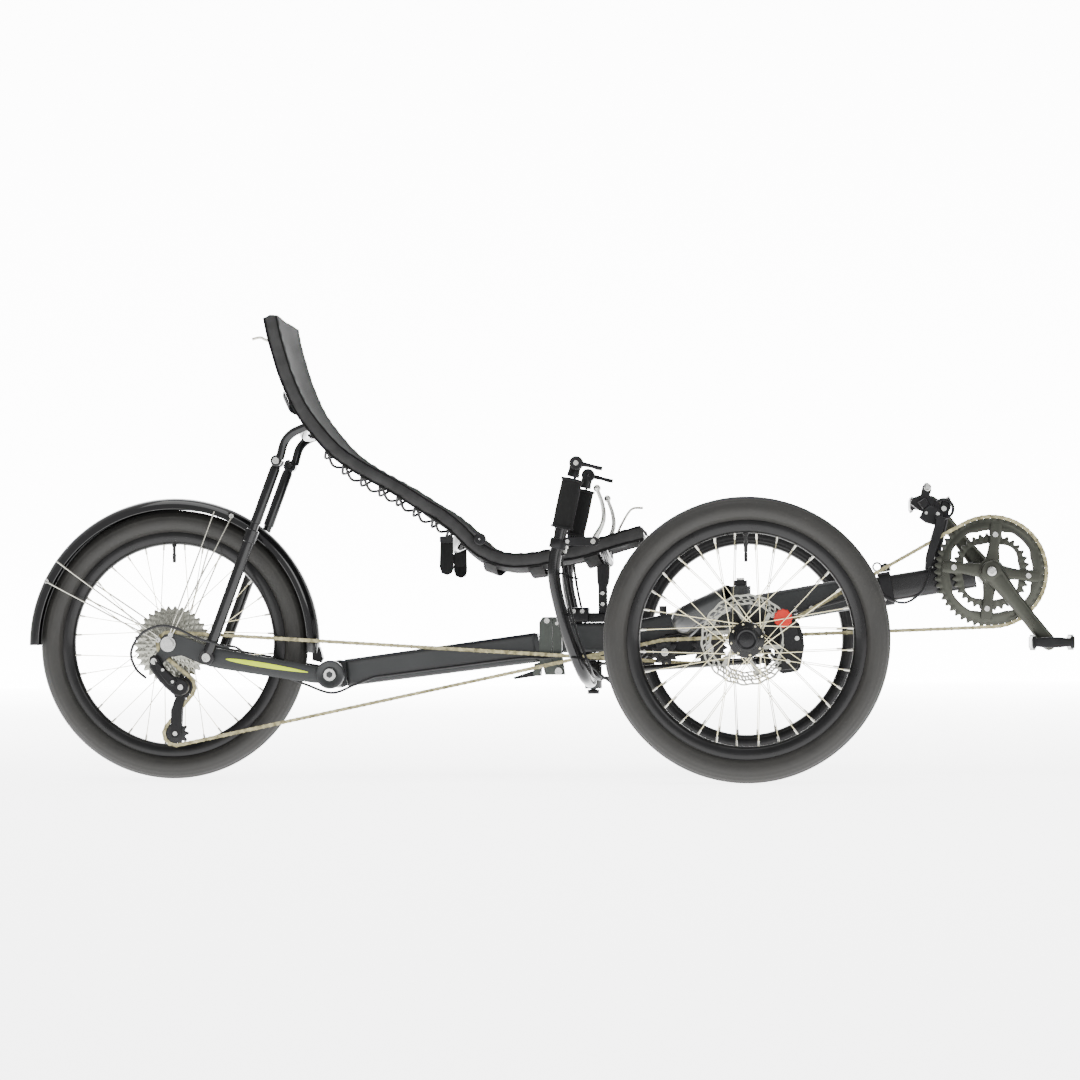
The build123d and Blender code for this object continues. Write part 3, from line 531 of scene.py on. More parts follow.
# Bolts: stainless socket-head screws, tightened with a six-sided key. Each head is a short drum with an
# eased rim and a six-sided socket, and sits on the face that it clamps.
bolt_steel = mottled("bolt_steel", (0.36, 0.36, 0.35), 0.26, metal=1.0, scale=150, spread=0.1, bump=0.08)


def screw_head(at, out, radius, tall):
    """A head standing on a point and facing out: rings of radius and height, the inner ones six-sided."""
    at = np.asarray(at, float)
    out = np.asarray(out, float) / np.linalg.norm(out)
    guide = np.array([1.0, 0, 0]) if abs(out[0]) < 0.9 else np.array([0, 0, 1.0])
    u = np.cross(guide, out)
    u /= np.linalg.norm(u)
    v = np.cross(out, u)
    a = np.linspace(0, 2 * np.pi, 24, endpoint=False)
    hexed = np.cos(np.pi / 6) / np.cos((a % (np.pi / 3)) - np.pi / 6)
    rings = [(radius, 0, 0), (radius, tall * 0.8, 0), (radius * 0.9, tall, 0), (radius * 0.56, tall, 1),
             (radius * 0.54, tall * 0.35, 1), (0.01, tall * 0.35, 0)]
    rows = [at + (r * (hexed if six else 1) * np.cos(a))[:, None] * u
            + (r * (hexed if six else 1) * np.sin(a))[:, None] * v + out * h for r, h, six in rings]
    return grid_shell(np.array(rows), around=True, ends=True)


def screws(name, body, *spots):
    """Screw heads as one piece, each (x, y, z, head radius, head height), facing away from the middle."""
    heads = [screw_head((x, y, z), (0, np.sign(y), 0), radius, tall) for x, y, z, radius, tall in spots]
    return piece(name, join(heads), bolt_steel, body)


# Fold hinge: two machined aluminium blocks, welded to the ends of the two beams, with a cross pin at the
# bottom and a clamp lever and bolt near the top. A short collar of weld joins the rear block to its beam.
machined_grey = mottled("machined_grey", (0.04, 0.044, 0.04), 0.33, metal=0.8, scale=30, spread=0.12,
                        bump=0.15, bump_scale=1800)
black_anodised = mottled("black_anodised", (0.0055, 0.0055, 0.006), 0.34, metal=0.4, scale=50,
                         spread=0.25, bump=0.08)
finish_node("hinge_block_front", machined_grey)
finish_node("hinge_block_rear", machined_grey)
finish_node("latch_lever", black_anodised)
for side in (-1, 1):
    name = "right" if side < 0 else "left"
    screws(f"hinge_bolts_rear_{name}", "rear_frame", (-368, side * 24, 288, 5.5, 4))
    screws(f"hinge_bolts_front_{name}", "frame", (-347, side * 25.6, 195, 7, 3.5),
           (-349.5, side * 24, 283, 3.6, 2.5))

weld = carried([(-391, 0, 238.6), (-390, 0, 238.7), (-383, 0, 239.4), (-381.8, 0, 239.6)], 47.5, 52,
               power=8)
piece("rear_beam_collar", weld, charcoal_paint, "rear_frame")

# Boom: a square black tube that slides in the beam for leg length, held by a two-bolt collar.
boom_black = mottled("boom_black", (0.004, 0.004, 0.0043), 0.22, metal=0.1, scale=20, spread=0.3,
                     bump=0.08, coat=0.2)
boom_lean = math.radians(8.85)
along_boom = np.array([math.cos(boom_lean), 0, math.sin(boom_lean)])
bottom_bracket = np.array([447.0, 0, 371.0])
collar_at = np.array([257.5, 0, 341.5])
tube_points = [collar_at + along_boom * d for d in (-68, -60, -40, 0, 60, 120, 164)]
shell_section = [(23.5, -34), (23.5, 34), (22.5, 35), (19, 35), (19, -35), (22.5, -35)]
bb_x, bb_z = bottom_bracket[[0, 2]]
boom_shape = join([carried(tube_points, 44, 48, power=9), lathe(shell_section, bb_x, bb_z, steps=72)])
piece("boom_tube", boom_shape, boom_black, "boom", stands_for=["boom"])
cups = [lathe([(20, s * 34), (21.5, s * 35), (21.5, s * 41.5), (20, s * 43), (12.4, s * 43),
               (12.4, s * 34)], bb_x, bb_z, 0, steps=72) for s in (-0.93, 1)]
piece("bottom_bracket_cups", join(cups), black_anodised, "boom")
collar = carried([collar_at + along_boom * d for d in (-11, -10, -3, 3, 10, 11)],
                 [56, 58, 58, 58, 58, 56], [60, 62, 62, 62, 62, 60], power=8)
ears = [plate([(247, 372), (266, 375), (265, 386), (256, 390), (248, 385)], s * 2.2,
              s * 9) for s in (-1, 1)]
piece("boom_collar", join([collar] + ears), black_anodised, "frame", stands_for=["boom_clamp"])
screws("collar_bolts", "frame", (256, -9, 380.5, 4.5, 3.5), (253.5, -29, 322, 4, 3))
eyelet = lathe([(7.5 + 1.6 * math.cos(a), 1.6 * math.sin(a)) for a in np.linspace(0, 5.5, 8)], 241, 382,
               -16, steps=40)
piece("chain_keeper_ring", eyelet, black_anodised, "frame")

# Rear arm: two tapered oval-box tubes on a cross barrel, with plate dropouts; the whole arm hinges
# under the beam's rear lug. A plain yellow-green stripe runs along the outside of each tube.
stripe_green = mottled("stripe_green", (0.36, 0.45, 0.0), 0.5, scale=60, spread=0.05, bump=0.03)
pivot_x, pivot_z = -765.0, 192.0
arm_line = np.array([(-752, 190.5), (-775, 190.8), (-800, 193), (-880, 207), (-960, 221), (-985, 226),
                     (-1004, 229.5)])
arm_tall = [24, 29, 31, 34, 36.5, 36, 30]
arms = []
for s in (-1, 1):
    line = np.stack([arm_line[:, 0], np.full(7, s * 72.0), arm_line[:, 1]], -1)
    arms.append(carried(flowing(line, 5), 8.4, np.interp(np.linspace(0, 6, 31), range(7),
                                                         arm_tall), power=4.5))
    arms.append(plate([(-972, 207), (-968, 240), (-1000, 249), (-1040, 265), (-1058, 270), (-1072, 268),
                       (-1080, 258), (-1081, 240), (-1091, 228), (-1093, 219), (-1087, 212),
                       (-1078, 212), (-1064, 226), (-1040, 229), (-1004, 214)], s * 69.2, s * 75.8))
barrels = [lathe([(22, s * 66), (22, s * 27), (8.3, s * 27), (8.3, s * 66)], pivot_x, pivot_z,
                 steps=72) for s in (-1, 1)]
pivot_caps = []
for s in (-1, 1):
    pivot_caps.append(lathe([(8.3, s * 67), (25.6, s * 67), (26.2, s * 68.5), (26.2, s * 81),
                             (24.8, s * 83), (15, s * 83.4), (13.5, s * 82.4), (8.3, s * 82.4)],
                            pivot_x, pivot_z, 0, steps=72))
piece("rear_arm_frame", join(arms + barrels + pivot_caps), charcoal_paint, "rear_arm",
      stands_for=["swingarm"])
for s, name in ((-1, "right"), (1, "left")):
    share = np.linspace(0, 1, 24)
    line = np.stack([-958 + 152 * share, np.full(24, s * 76.35), 222 - 25.5 * share], -1)
    piece(f"arm_stripe_{name}", carried(line, 0.8, 1.2 + 8 * np.sin(np.pi * share ** 0.8) ** 0.7,
                                        power=3, sides=12), stripe_green, "rear_arm")
screws("pivot_bolts", "rear_frame", *[(pivot_x, s * 83.2, pivot_z, 11.5, 5) for s in (-1, 1)])
screws("rear_axle_nuts", "rear_arm", *[(rear_x, s * 79, wheel_r, 10, 6.5) for s in (-1, 1)])
washers = join([lathe([(5, s * 76), (14, s * 76), (14, s * 79), (5, s * 79)], rear_x, wheel_r, 0,
                      steps=48) for s in (-1, 1)])
piece("rear_axle_washers", washers, bolt_steel, "rear_arm")
finish_node("rear_axle", bolt_steel)

# Struts: a pair of black painted telescopic legs from the rear arm up to the seat braces. A rod slides in
# each tube under a collar, and an eye at each end turns on its bolt.
strut_foot = np.array([-992.0, 0, 225.0])
strut_head = np.array([-858.0, 0, 585.0])
strut_way = (strut_head - strut_foot) / np.linalg.norm(strut_head - strut_foot)
feet, legs = [], []
for s in (-1, 1):
    off = np.array([0, s * 87.0, 0])
    feet.append(many_rods([strut_foot + off], [strut_foot + off + strut_way * 250],
                          [(0.03, 9), (0.08, 10.4), (0.9, 10.4), (0.905, 12.2), (0.995, 12.2),
                           (1.0, 11)], sides=40))
    feet.append(lathe([(5.2, s * 76.4), (13, s * 76.4), (14, s * 77.5), (14, s * 92), (13, s * 93),
                       (5.2, s * 93)], *strut_foot[[0, 2]], 0, steps=48))
    legs.append(many_rods([strut_foot + off + strut_way * 150], [strut_head + off - strut_way * 9],
                          [(0, 8), (0.5, 8), (0.505, 9.8), (0.97, 9.8), (1, 8)], sides=40))
    legs.append(lathe([(6.4, s * 79.2), (11, s * 79.2), (12, s * 80.2), (12, s * 92), (11, s * 93),
                       (6.4, s * 93)], *strut_head[[0, 2]], 0, steps=48, start=95, turn=265))
piece("strut_lower_tubes", join(feet), boom_black, "strut_lower", stands_for=["strut_tubes"])
piece("strut_upper_rods", join(legs), boom_black, "strut_upper", stands_for=["strut_rods"])
screws("strut_foot_bolts", "rear_arm", *[(*(strut_foot + (0, s * 93.2, 0)), 8, 4) for s in (-1, 1)])

# Fender: a glossy black moulded plastic guard over the rear wheel, its section an arch turned round the
# axle with a rolled lip. Bent stainless wire stays screw to its sides and to the dropouts.
fender_gloss = mottled("fender_gloss", (0.003, 0.003, 0.0033), 0.1, scale=12, spread=0.2, bump=0.015,
                       coat=0.5, rough_spread=0.03)
turn = np.linspace(0, np.pi, 25)
outer_side = [(252 + 20.5 * math.sin(a) ** 0.75, -29 * math.cos(a)) for a in turn]
inner_side = [(252 + 19 * math.sin(a) ** 0.75, -27.6 * math.cos(a)) for a in turn[::-1]]
guard = lathe(outer_side[:1] + [(251, -28.6)] + outer_side[1:] + [(251, 28.3)] + inner_side,
              rear_x, wheel_r, 0, steps=200, start=-4, turn=184)
piece("fender_guard", guard, fender_gloss, "rear_arm", stands_for=["fender"])
stay_wires = []
for s in (-1, 1):
    for root, tip in (((-1084, 257), (-1302, 369)), ((-1080, 262), (-1281, 406)),
                      ((-1058, 266), (-951, 489)), ((-1062, 268), (-985, 496))):
        path = flowing([(root[0], s * 77.5, root[1]), (root[0] * 0.8 + tip[0] * 0.2, s * 76,
                                                       root[1] * 0.8 + tip[1] * 0.2),
                        (root[0] * 0.3 + tip[0] * 0.7, s * 46, root[1] * 0.3 + tip[1] * 0.7),
                        (tip[0], s * 30.2, tip[1])], 8)
        stay_wires.append(along_path(path, 1.5, sides=8, up=(0.1, 0.9, 0.1)))
piece("fender_stays", join(stay_wires), bright_steel, "rear_arm")
stay_ends = ((-1300, 29.5, 369, 4.5, 3), (-953, 29.5, 487, 4.5, 3), (-1083, 76, 258, 5, 4),
             (-1060, 76, 267, 5, 4))
screws("stay_screws", "rear_arm", *[(x, s * y, z, radius, tall) for x, y, z, radius, tall in stay_ends
                                    for s in (-1, 1)])
mount = plate([(-806, 243), (-792, 243), (-786, 222), (-790, 214), (-806, 218)], -12, 12, 1.5)
piece("fender_mount", mount, black_anodised, "rear_arm")

# Seat: a padded grey mesh sling with a sleeve along each edge that slides over the bent rails. It sags
# between them, puckers along the sleeve seams, and is laced and strapped to itself underneath.


def woven(name, colour, thread=0.0016):
    """Cloth: a fine field of nearly regular cells, whose height is the distance to the nearest cell
    centre, over a slow drift of tone."""
    material = mottled(name, colour, 0.8, scale=28, spread=0.22, bump=0.25, bump_scale=500, specular=0.06)
    nodes, links = material.node_tree.nodes, material.node_tree.links
    where = nodes.new("ShaderNodeTexCoord")
    weave = nodes.new("ShaderNodeTexVoronoi")
    fill(weave, Scale=1 / thread / 2, Randomness=0.15)
    links.new(where.outputs["Object"], weave.inputs["Vector"])
    lift = nodes.new("ShaderNodeBump")
    fill(lift, Strength=0.5, Distance=0.0005)
    links.new(weave.outputs["Distance"], lift.inputs["Height"])
    shader = nodes["Principled BSDF"]
    links.new(shader.inputs["Normal"].links[0].from_socket, lift.inputs["Normal"])
    links.new(lift.outputs["Normal"], shader.inputs["Normal"])
    return material


sling_grey = woven("sling_grey", (0.021, 0.021, 0.021))
webbing_black = woven("webbing_black", (0.005, 0.005, 0.005), thread=0.0011)
seat_line = flowing([(-861, 846), (-854, 811), (-845, 778), (-834, 742), (-816, 698), (-798, 666),
                     (-768, 627), (-738, 596), (-702, 571), (-665, 550), (-628, 529), (-582, 499),
                     (-552, 481), (-521, 456), (-489, 424), (-458, 406), (-425, 398), (-389, 399),
                     (-353, 405), (-305, 413), (-262, 425), (-225, 436), (-187, 446)], 10)
seat_ahead = np.gradient(seat_line, axis=0)
seat_ahead /= np.linalg.norm(seat_ahead, axis=1, keepdims=True)
seat_up = np.stack([-seat_ahead[:, 1], seat_ahead[:, 0]], -1)
seat_run = np.concatenate([[0], np.cumsum(np.linalg.norm(np.diff(seat_line, axis=0), axis=1))])


def ripple(u, v, seed):
    """A soft uneven surface: five crossing sine waves with set directions and starts."""
    total = 0.0
    for i in range(5):
        a = seed + 2.4 * i
        total = total + np.sin(u * (0.55 + 0.31 * i) * math.cos(a) + v * (0.6 + 0.27 * i) * math.sin(a)
                               + 1.7 * seed * i) / (1 + 0.5 * i)
    return total / 2.6


rail_y = 150.0
sleeve_r = 12.6
pad = 13.0


def sling():
    """The cover's closed section at every station along the seat. Over the top it sags between the rails
    as a parabola that is deepest at the hips; it goes round each rail as a circle and comes back
    underneath, a pad's thickness lower. Sine waves pucker it near the rails and ripple the rest."""
    across = np.linspace(-rail_y, rail_y, 61)
    arc = np.linspace(np.pi / 2, -2.1, 18)[1:]
    length = seat_run[-1]
    share = seat_run / length
    sag = np.interp(share, [0, 0.04, 0.25, 0.5, 0.68, 0.8, 0.95, 1],
                    [3, 8, 13, 17, 22, 18, 10, 4])[:, None]
    thick = pad * np.clip(np.minimum(share, 1 - share) * 26, 0.35, 1)[:, None]
    bowl = (1 - (across / rail_y) ** 2)[None, :]
    u = seat_run[:, None] / 16
    edge = np.exp(-((rail_y - np.abs(across)) / 38) ** 2)[None, :]
    pucker = 0.9 * edge * np.sin(u * 4.1 + 1.3 * np.sin(u * 0.6) + across[None, :] / 60)
    waves = 1.5 * ripple(u * 1.3, across[None, :] / 30, 0.7)
    seam = -2.2 * np.exp(-((np.abs(across) - 127) / 2.4) ** 2)[None, :]
    top = sleeve_r - sag * bowl + (pucker + waves * bowl ** 0.5) + seam
    close = np.exp(-((rail_y - 6.4 - np.abs(across)) / 11) ** 2)[None, :]
    below = (top - thick) * (1 - close) + (-sleeve_r
                                           * 0.85) * close + 0.8 * ripple(u * 1.9, across[None, :] / 24,
                                                                          2.1)
    ring = sleeve_r + 0.75 * ripple(u * 1.7, arc[None, :] * 2.2,
                                    1.1) + 0.35 * np.sin(u * 5.3 + arc[None, :])
    left_y, left_n = rail_y + ring * np.cos(arc), ring * np.sin(arc)
    ring = sleeve_r + 0.75 * ripple(u * 1.6, arc[None, :] * 2.1,
                                    3.3) + 0.35 * np.sin(u * 4.7 - arc[None, :])
    right_y, right_n = -rail_y - ring * np.cos(arc), ring * np.sin(arc)
    rows = len(seat_run)
    inner = slice(4, -4)
    y = np.concatenate([np.broadcast_to(across, (rows, 61)), left_y,
                        np.broadcast_to(across[::-1][inner], (rows, 53)), right_y[:, ::-1]], 1)
    n = np.concatenate([top, left_n, below[:, ::-1][:, inner], right_n[:, ::-1]], 1)
    points = np.stack([seat_line[:, :1] + seat_up[:, :1] * n, y, seat_line[:, 1:] + seat_up[:, 1:] * n],
                      -1)
    lips = []
    for end, way in ((0, -3.0), (-1, 3.0)):
        middle = np.interp(np.abs(y[end]), across[30:], ((top[end] + below[end]) / 2)[30:], right=0.0)
        at = seat_line[end] + seat_ahead[end] * way
        lips.append(np.stack([at[0] + seat_up[end, 0] * middle, y[end],
                              at[1] + seat_up[end, 1] * middle], -1)[None])
    return grid_shell(np.concatenate([lips[0], points, lips[1]]), around=True)


cover = piece("sling_cover", sling(), sling_grey, "frame", stands_for=["seat_sling"])


def seat_rails():
    """Two rails along the seat line, and cross tubes that bow down below the sling as a parabola."""
    shells = []
    for s in (-1, 1):
        rail = np.stack([seat_line[:, 0], np.full(len(seat_line), s * rail_y), seat_line[:, 1]], -1)
        shells.append(along_path(rail[::3], 11, sides=20))
    y = np.linspace(-rail_y, rail_y, 25)
    bow = 1 - (y / rail_y) ** 2
    for x, z in ((-857, 828), (-790, 655), (-516, 447), (-262, 427), (-192, 444)):
        k = int(np.argmin(np.hypot(seat_line[:, 0] - x, seat_line[:, 1] - z)))
        deep = 8 if k < 20 or k > len(seat_line) - 12 else 34
        drop = seat_up[k] * -deep
        shells.append(along_path(np.stack([x + drop[0] * bow, y, z + drop[1] * bow], -1), 8, sides=20,
                                 up=(1, 0, 0.2)))
    return join(shells)


piece("seat_rails", seat_rails(), boom_black, "frame", stands_for=["seat_frame"])


def on_seat(run, y, n):
    """A point at a distance along the seat line, y out to a side, and n above the line of the rails."""
    x = np.interp(run, seat_run, seat_line[:, 0]) + np.interp(run, seat_run, seat_up[:, 0]) * n
    z = np.interp(run, seat_run, seat_line[:, 1]) + np.interp(run, seat_run, seat_up[:, 1]) * n
    return np.stack(np.broadcast_arrays(x, y, z), -1)


laces, binding, straps = [], [], []
for s in (-1, 1):
    binding.append(along_path(on_seat(seat_run[::2], s * 157.5, -12.2), 1.9, sides=8))
    binding.append(along_path(on_seat(seat_run[::2], s * 158.5, 10.6), 1.4, sides=8))
for i, run in enumerate(np.arange(250, 560, 19.0)):
    s = 1 if i % 2 else -1
    laces.append(along_path(flowing([on_seat(run - 3, -s * 146, -14.5), on_seat(run, -s * 156, -12.5),
                                     on_seat(run + 3, -s * 146, -14.5), on_seat(run + 8, 0, -30),
                                     on_seat(run + 16, s * 146, -14.5)], 6), 2.6, sides=8))
for run in (150, 625, 700, 800, 900):
    under = np.linspace(-1, 1, 31)
    line = on_seat(run, under * 158, -15 - 16 * (1 - under ** 2))
    straps.append(carried(line, 26, 1.8, power=6,
                          up=(seat_ahead[int(np.searchsorted(seat_run, run))][0], 0.01,
                              seat_ahead[int(np.searchsorted(seat_run, run))][1]), sides=16))
piece("sling_binding", join(binding), webbing_black, "frame")
piece("sling_laces", join(laces), webbing_black, "frame")
piece("sling_straps", join(straps), webbing_black, "frame")
tail_shape = [(-553, 436), (-530, 436), (-529, 384), (-532, 375), (-541, 371), (-551, 375), (-555, 386)]
small_tail = [(-530, 410), (-508, 412), (-506, 395), (-511, 387), (-524, 387), (-531, 394)]
tails = join([plate(tail_shape, s * 153, s * 156, 1) for s in (-1, 1)]
             + [plate(small_tail, -151, -149, 0.8)])
piece("strap_tails", tails, webbing_black, "frame")
piece("strap_buckles",
      join([carried([(-542, s * 149, 436), (-542, s * 160, 436)], 12, 24, power=6,
                    up=(0, 0, 1)) for s in (-1, 1)]), black_anodised, "frame")
flag_rod = flowing([(-862, -60, 803), (-884, -60, 812), (-893, -60, 816), (-908, -60, 813)], 6)
piece("flag_rod", along_path(flag_rod, 2.6, sides=12), bright_steel, "frame")
hook = flowing([(-236, -40, 446), (-228, -40, 464), (-214, -40, 487), (-204, -40, 494),
                (-188, -40, 494)], 6)
piece("seat_hook", along_path(hook, 2.2, sides=12), bright_steel, "frame")
turn_knob = lathe([(2, -161), (9, -161), (11, -163), (11, -170), (9, -172), (2, -172)], -480, 436, 0,
                  steps=32)
piece("seat_knob", turn_knob, black_anodised, "frame")

# Seat braces and post: welded tube arms reach back from the rails to the strut heads; the front post is a
# forged black strut standing in a saddle that clamps round the beam with stainless bolts.
brace_parts = []
for s in (-1, 1):
    arm_path = bent([(-788, s * 132, 650), (-840, s * 107.5, 632), (-852, s * 107.5, 588)], 28, 12)
    brace_parts.append(along_path(np.concatenate([[(-786, s * 143, 651)], arm_path]), 8, sides=28))
    brace_parts.append(lathe([(0.5, s * 77), (4.6, s * 77), (5, s * 78), (5, s * 99), (0.5, s * 99)],
                             *strut_head[[0, 2]], steps=32))
    brace_parts.append(lathe([(0.5, s * 98), (9.5, s * 98), (10.5, s * 99.5), (10.5, s * 112.5),
                              (9, s * 114), (0.5, s * 114)], *strut_head[[0, 2]], steps=48))
piece("seat_brace_arms", join(brace_parts), boom_black, "frame", stands_for=["seat_braces"])
screws("brace_bolts", "frame", *[(*(strut_head + (0, s * 114, 0)), 6.5, 4) for s in (-1, 1)])
post_side = [(-277, 420), (-249, 420), (-250, 408), (-253, 360), (-257, 350), (-257, 300), (-273, 300),
             (-273, 350), (-275, 360)]
saddle = carried([(-331, 0, 298.3), (-330, 0, 298.3), (-310, 0, 298.3), (-292, 0, 298.3),
                  (-291, 0, 298.3)], [60, 64, 64, 64, 60], [24, 27.6, 27.6, 27.6, 24], power=9)
foot = carried([(-292, 0, 293.2), (-290, 0, 293.2), (-262, 0, 293.2), (-256, 0, 293.2)], 40,
               [17.6, 17.6, 17.6, 14], power=9)
clasp = lathe([(9, -15), (14, -15), (15, -13), (15, 13), (14, 15), (9, 15)], -262, 427, 0, steps=48)
piece("seat_post_forged", join([plate(post_side, -14, 14, 2.5), saddle, foot, clasp]), black_anodised,
      "frame", stands_for=["seat_post"])
screws("post_bolts", "frame", (-262, -15, 410, 5, 4), (-318, -32, 305, 4.5, 4),
       (-302, -32, 305, 4.5, 4), (-265, -14, 318, 4, 3.5), (-265, -14, 338, 4, 3.5))

# Handlebar: one black steel tube bent in a U under the seat, welded to a stem that turns on a bolt under
# the beam. Foam grips, twist shifters, brake perches and polished levers sit on the two uprights.
foam_black = mottled("foam_black", (0.0045, 0.0045, 0.0045), 0.9, scale=120, spread=0.3, bump=0.7,
                     bump_scale=1400, specular=0.15)
alloy_bright = mottled("alloy_bright", (0.34, 0.34, 0.32), 0.2, metal=1.0, scale=70, spread=0.1,
                       bump=0.05)


def upright_rod(x, y, sections, sides=40):
    """A round post turned about a vertical line, from (radius, height) sections."""
    a = np.linspace(0, 2 * np.pi, sides, endpoint=False)
    rows = [np.stack([x + r * np.cos(a), y + r * np.sin(a), np.full(sides, z)], -1) for r, z in sections]
    return grid_shell(np.array(rows, float), around=True, ends=True)


steer_x = -284.0
pivot_seat = carried([(steer_x, -20, 221), (steer_x, -18.5, 221), (steer_x, 18.5, 221),
                      (steer_x, 20, 221)], [12, 15.4, 15.4, 12], [46, 50, 50, 46], power=9,
                     up=(0, 0, 1))
king_bolt = upright_rod(steer_x, 0, [(5.5, 213.2), (5.5, 160), (10.4, 160), (10.9, 159), (10.9, 153),
                                     (10.2, 152), (4, 152)])
piece("steering_seat", join([pivot_seat, king_bolt]), black_anodised, "frame",
      stands_for=["steering_pivot"])
bar_points = [(-284, 150, 176), (-292, 226, 190), (-320, 235, 262), (-342, 235, 350), (-343, 235, 391),
              (-330, 235, 443), (-308, 235, 541)]
bar_path = bent([(x, -y, z) for x, y, z in bar_points[::-1]] + bar_points, 34, 9)
stem = upright_rod(steer_x, 0, [(6.4, 163), (15, 162), (16, 163.5), (16, 211), (15, 212.6), (6.4, 212.6)])
stem_ears = []
for s in (-1, 1):
    stem_ears.append(carried([(steer_x + 6, s * 2, 208), (steer_x + 30, s * 9, 208),
                              (steer_x + 45, s * 14, 208), (steer_x + 52, s * 16, 208)],
                             [16, 14.5, 15, 8], 6, power=4, up=(0, 1, 0)))
    stem_ears.append(upright_rod(steer_x + 45, s * 14, [(3.4, 190.5), (3.4, 205), (7.8, 205.2),
                                                        (7.8, 211), (5, 215)], 28))
piece("handlebar_tube", join([along_path(bar_path, 11.1, sides=32), stem] + stem_ears), boom_black,
      "handlebar", stands_for=["handlebar"])

grip_way = np.array([20.2, 0, 90.0]) / math.hypot(20.2, 90)
bar_y = 235
shift_at = (-301, 568)
lever_pivot = (-272, 428)


def round_about(base, way, sections, sides=48, flute=0.0, count=0):
    """A turned shape along any line: rings of (distance along, radius), that may be rippled round."""
    base, way = np.asarray(base, float), np.asarray(way, float) / np.linalg.norm(way)
    u = np.cross(way, (0, 1, 0.01))
    u /= np.linalg.norm(u)
    v = np.cross(way, u)
    a = np.linspace(0, 2 * np.pi, sides, endpoint=False)
    rows = [base + way * d + (r * (1 + flute * np.cos(count * a)))[:, None]
            * (np.cos(a)[:, None] * u + np.sin(a)[:, None] * v) for d, r in sections]
    return grid_shell(np.array(rows), around=True, ends=True)


foam, shifters, perches, silver = [], [], [], []
for s, name in ((-1, "right"), (1, "left")):
    low = np.array([-328.2, s * bar_y, 451.0])
    rings = [(0, 12.5), (0.5, 20.3), (3.5, 20.8), (5, 18.4), (14, 18.2)]
    rings += [(d, 18.2 + 0.5 * math.sin((d - 14) / 60 * math.pi)) for d in range(16, 76, 4)]
    rings += [(78, 18.2), (87, 18.4), (88.5, 20.6), (91.5, 20.2), (92, 12.5)]
    foam.append(round_about(low, grip_way, rings))
    tip = np.array([-307.5, s * bar_y, 543.5])
    shifters.append(round_about(tip, (4.5, 0, 19.5), [(0, 9), (0.5, 11), (7, 11), (8, 10.4),
                                                      (18, 10.2), (22, 8)]))
    shifters.append(lathe([(2, s * 226), (11, s * 226), (12.6, s * 227.5), (12.6, s * 232),
                           (11.8, s * 232.6), (11.8, s * 239), (12.6, s * 239.6), (12.6, s * 245.4),
                           (11, s * 246), (2, s * 246)], *shift_at, steps=64))
    thumb = carried([(-301, s * 249.8, 568), (-290, s * 250, 566), (-272, s * 250, 561.5),
                     (-262, s * 250, 558.5), (-254, s * 250, 557)], [5, 4.4, 4.4, 5.5, 6],
                    [15, 8.5, 6.5, 8, 7], power=3)
    boss = lathe([(3, s * 246.2), (10, s * 246.2), (11.4, s * 247.2), (11.4, s * 252), (10, s * 253.4),
                  (3, s * 253.4)], *shift_at, steps=48)
    piece(f"shift_paddle_{name}", join([thumb, boss]), black_anodised, f"shift_{name}",
          stands_for=[f"shift_lever_{name}"])
    screws(f"shift_screw_{name}", f"shift_{name}", (-301, s * 253.2, 568, 4.5, 2))
    perches.append(round_about((-337, s * bar_y, 415), (4.5, 0, 18),
                               [(0, 11.2), (0.4, 14.6), (1.5, 15.4), (17, 15.4), (18.2, 14.6),
                                (18.5, 11.2)]))
    for y0 in (229, 238.9):
        perches.append(plate([(-326, 421), (-280, 420), (-268, 419), (-262, 424), (-261, 431),
                              (-267, 436), (-280, 436), (-326, 435)], s * y0, s * (y0 + 2.1), 0.6))
    perches.append(carried([(-328, s * bar_y, 428), (-300, s * bar_y, 428), (-286, s * bar_y, 428)], 11,
                           [16, 13, 12], power=5))
    silver.append(round_about((-322, s * bar_y, 422), (-3, 0, -20),
                              [(-6, 4), (2, 4), (2.5, 5.4), (6, 5.4), (6.5, 3.8), (14, 3.8),
                               (15, 2.5)], 24, 0.05, 8))
    silver.append(screw_head((-272, s * 241, 428), (0, s, 0), 4.5, 2))
    blade = flowing([(-272, s * bar_y, 424), (-267, s * bar_y, 437), (-257, s * bar_y, 455),
                     (-252.5, s * bar_y, 473), (-255, s * bar_y, 495), (-261, s * bar_y, 513),
                     (-264, s * bar_y, 521)], 8)
    share = np.linspace(0, 1, len(blade))
    blade_shell = carried(blade, np.interp(share, [0, 0.15, 0.4, 1], [6, 6, 8.5, 9]),
                          np.interp(share, [0, 0.1, 0.35, 0.9, 1], [10, 12, 8.5, 6.5, 7]), power=2.6)
    a = np.linspace(-np.pi / 2, np.pi / 2, 13)
    ball = round_about((-264.4, s * bar_y, 523), (-0.1, 0, 1),
                       [(6.6 * math.sin(t), max(0.05, 6.6 * math.cos(t))) for t in a], 32)
    hub = lathe([(3.1, s * 232.2), (7.6, s * 232.2), (8, s * 233), (8, s * 237), (7.6, s * 237.8),
                 (3.1, s * 237.8)], *lever_pivot, steps=40)
    piece(f"brake_blade_{name}", join([blade_shell, ball, hub]), alloy_bright, f"brake_{name}",
          stands_for=[f"brake_lever_{name}"])
piece("grip_foam", join(foam), foam_black, "handlebar", stands_for=["grips"])
piece("shifter_drums", join(shifters + perches), black_anodised, "handlebar", stands_for=["lever_mounts"])
piece("barrel_adjusters", join(silver), alloy_bright, "handlebar")
perch_heads = [screw_head((-318, s * 241.1, 428), (0, s, 0), 4, 3) for s in (-1, 1)]
perch_heads += [screw_head((-302, s * 246, 577), (0, 0, 1), 3.5, 2.5) for s in (-1, 1)]
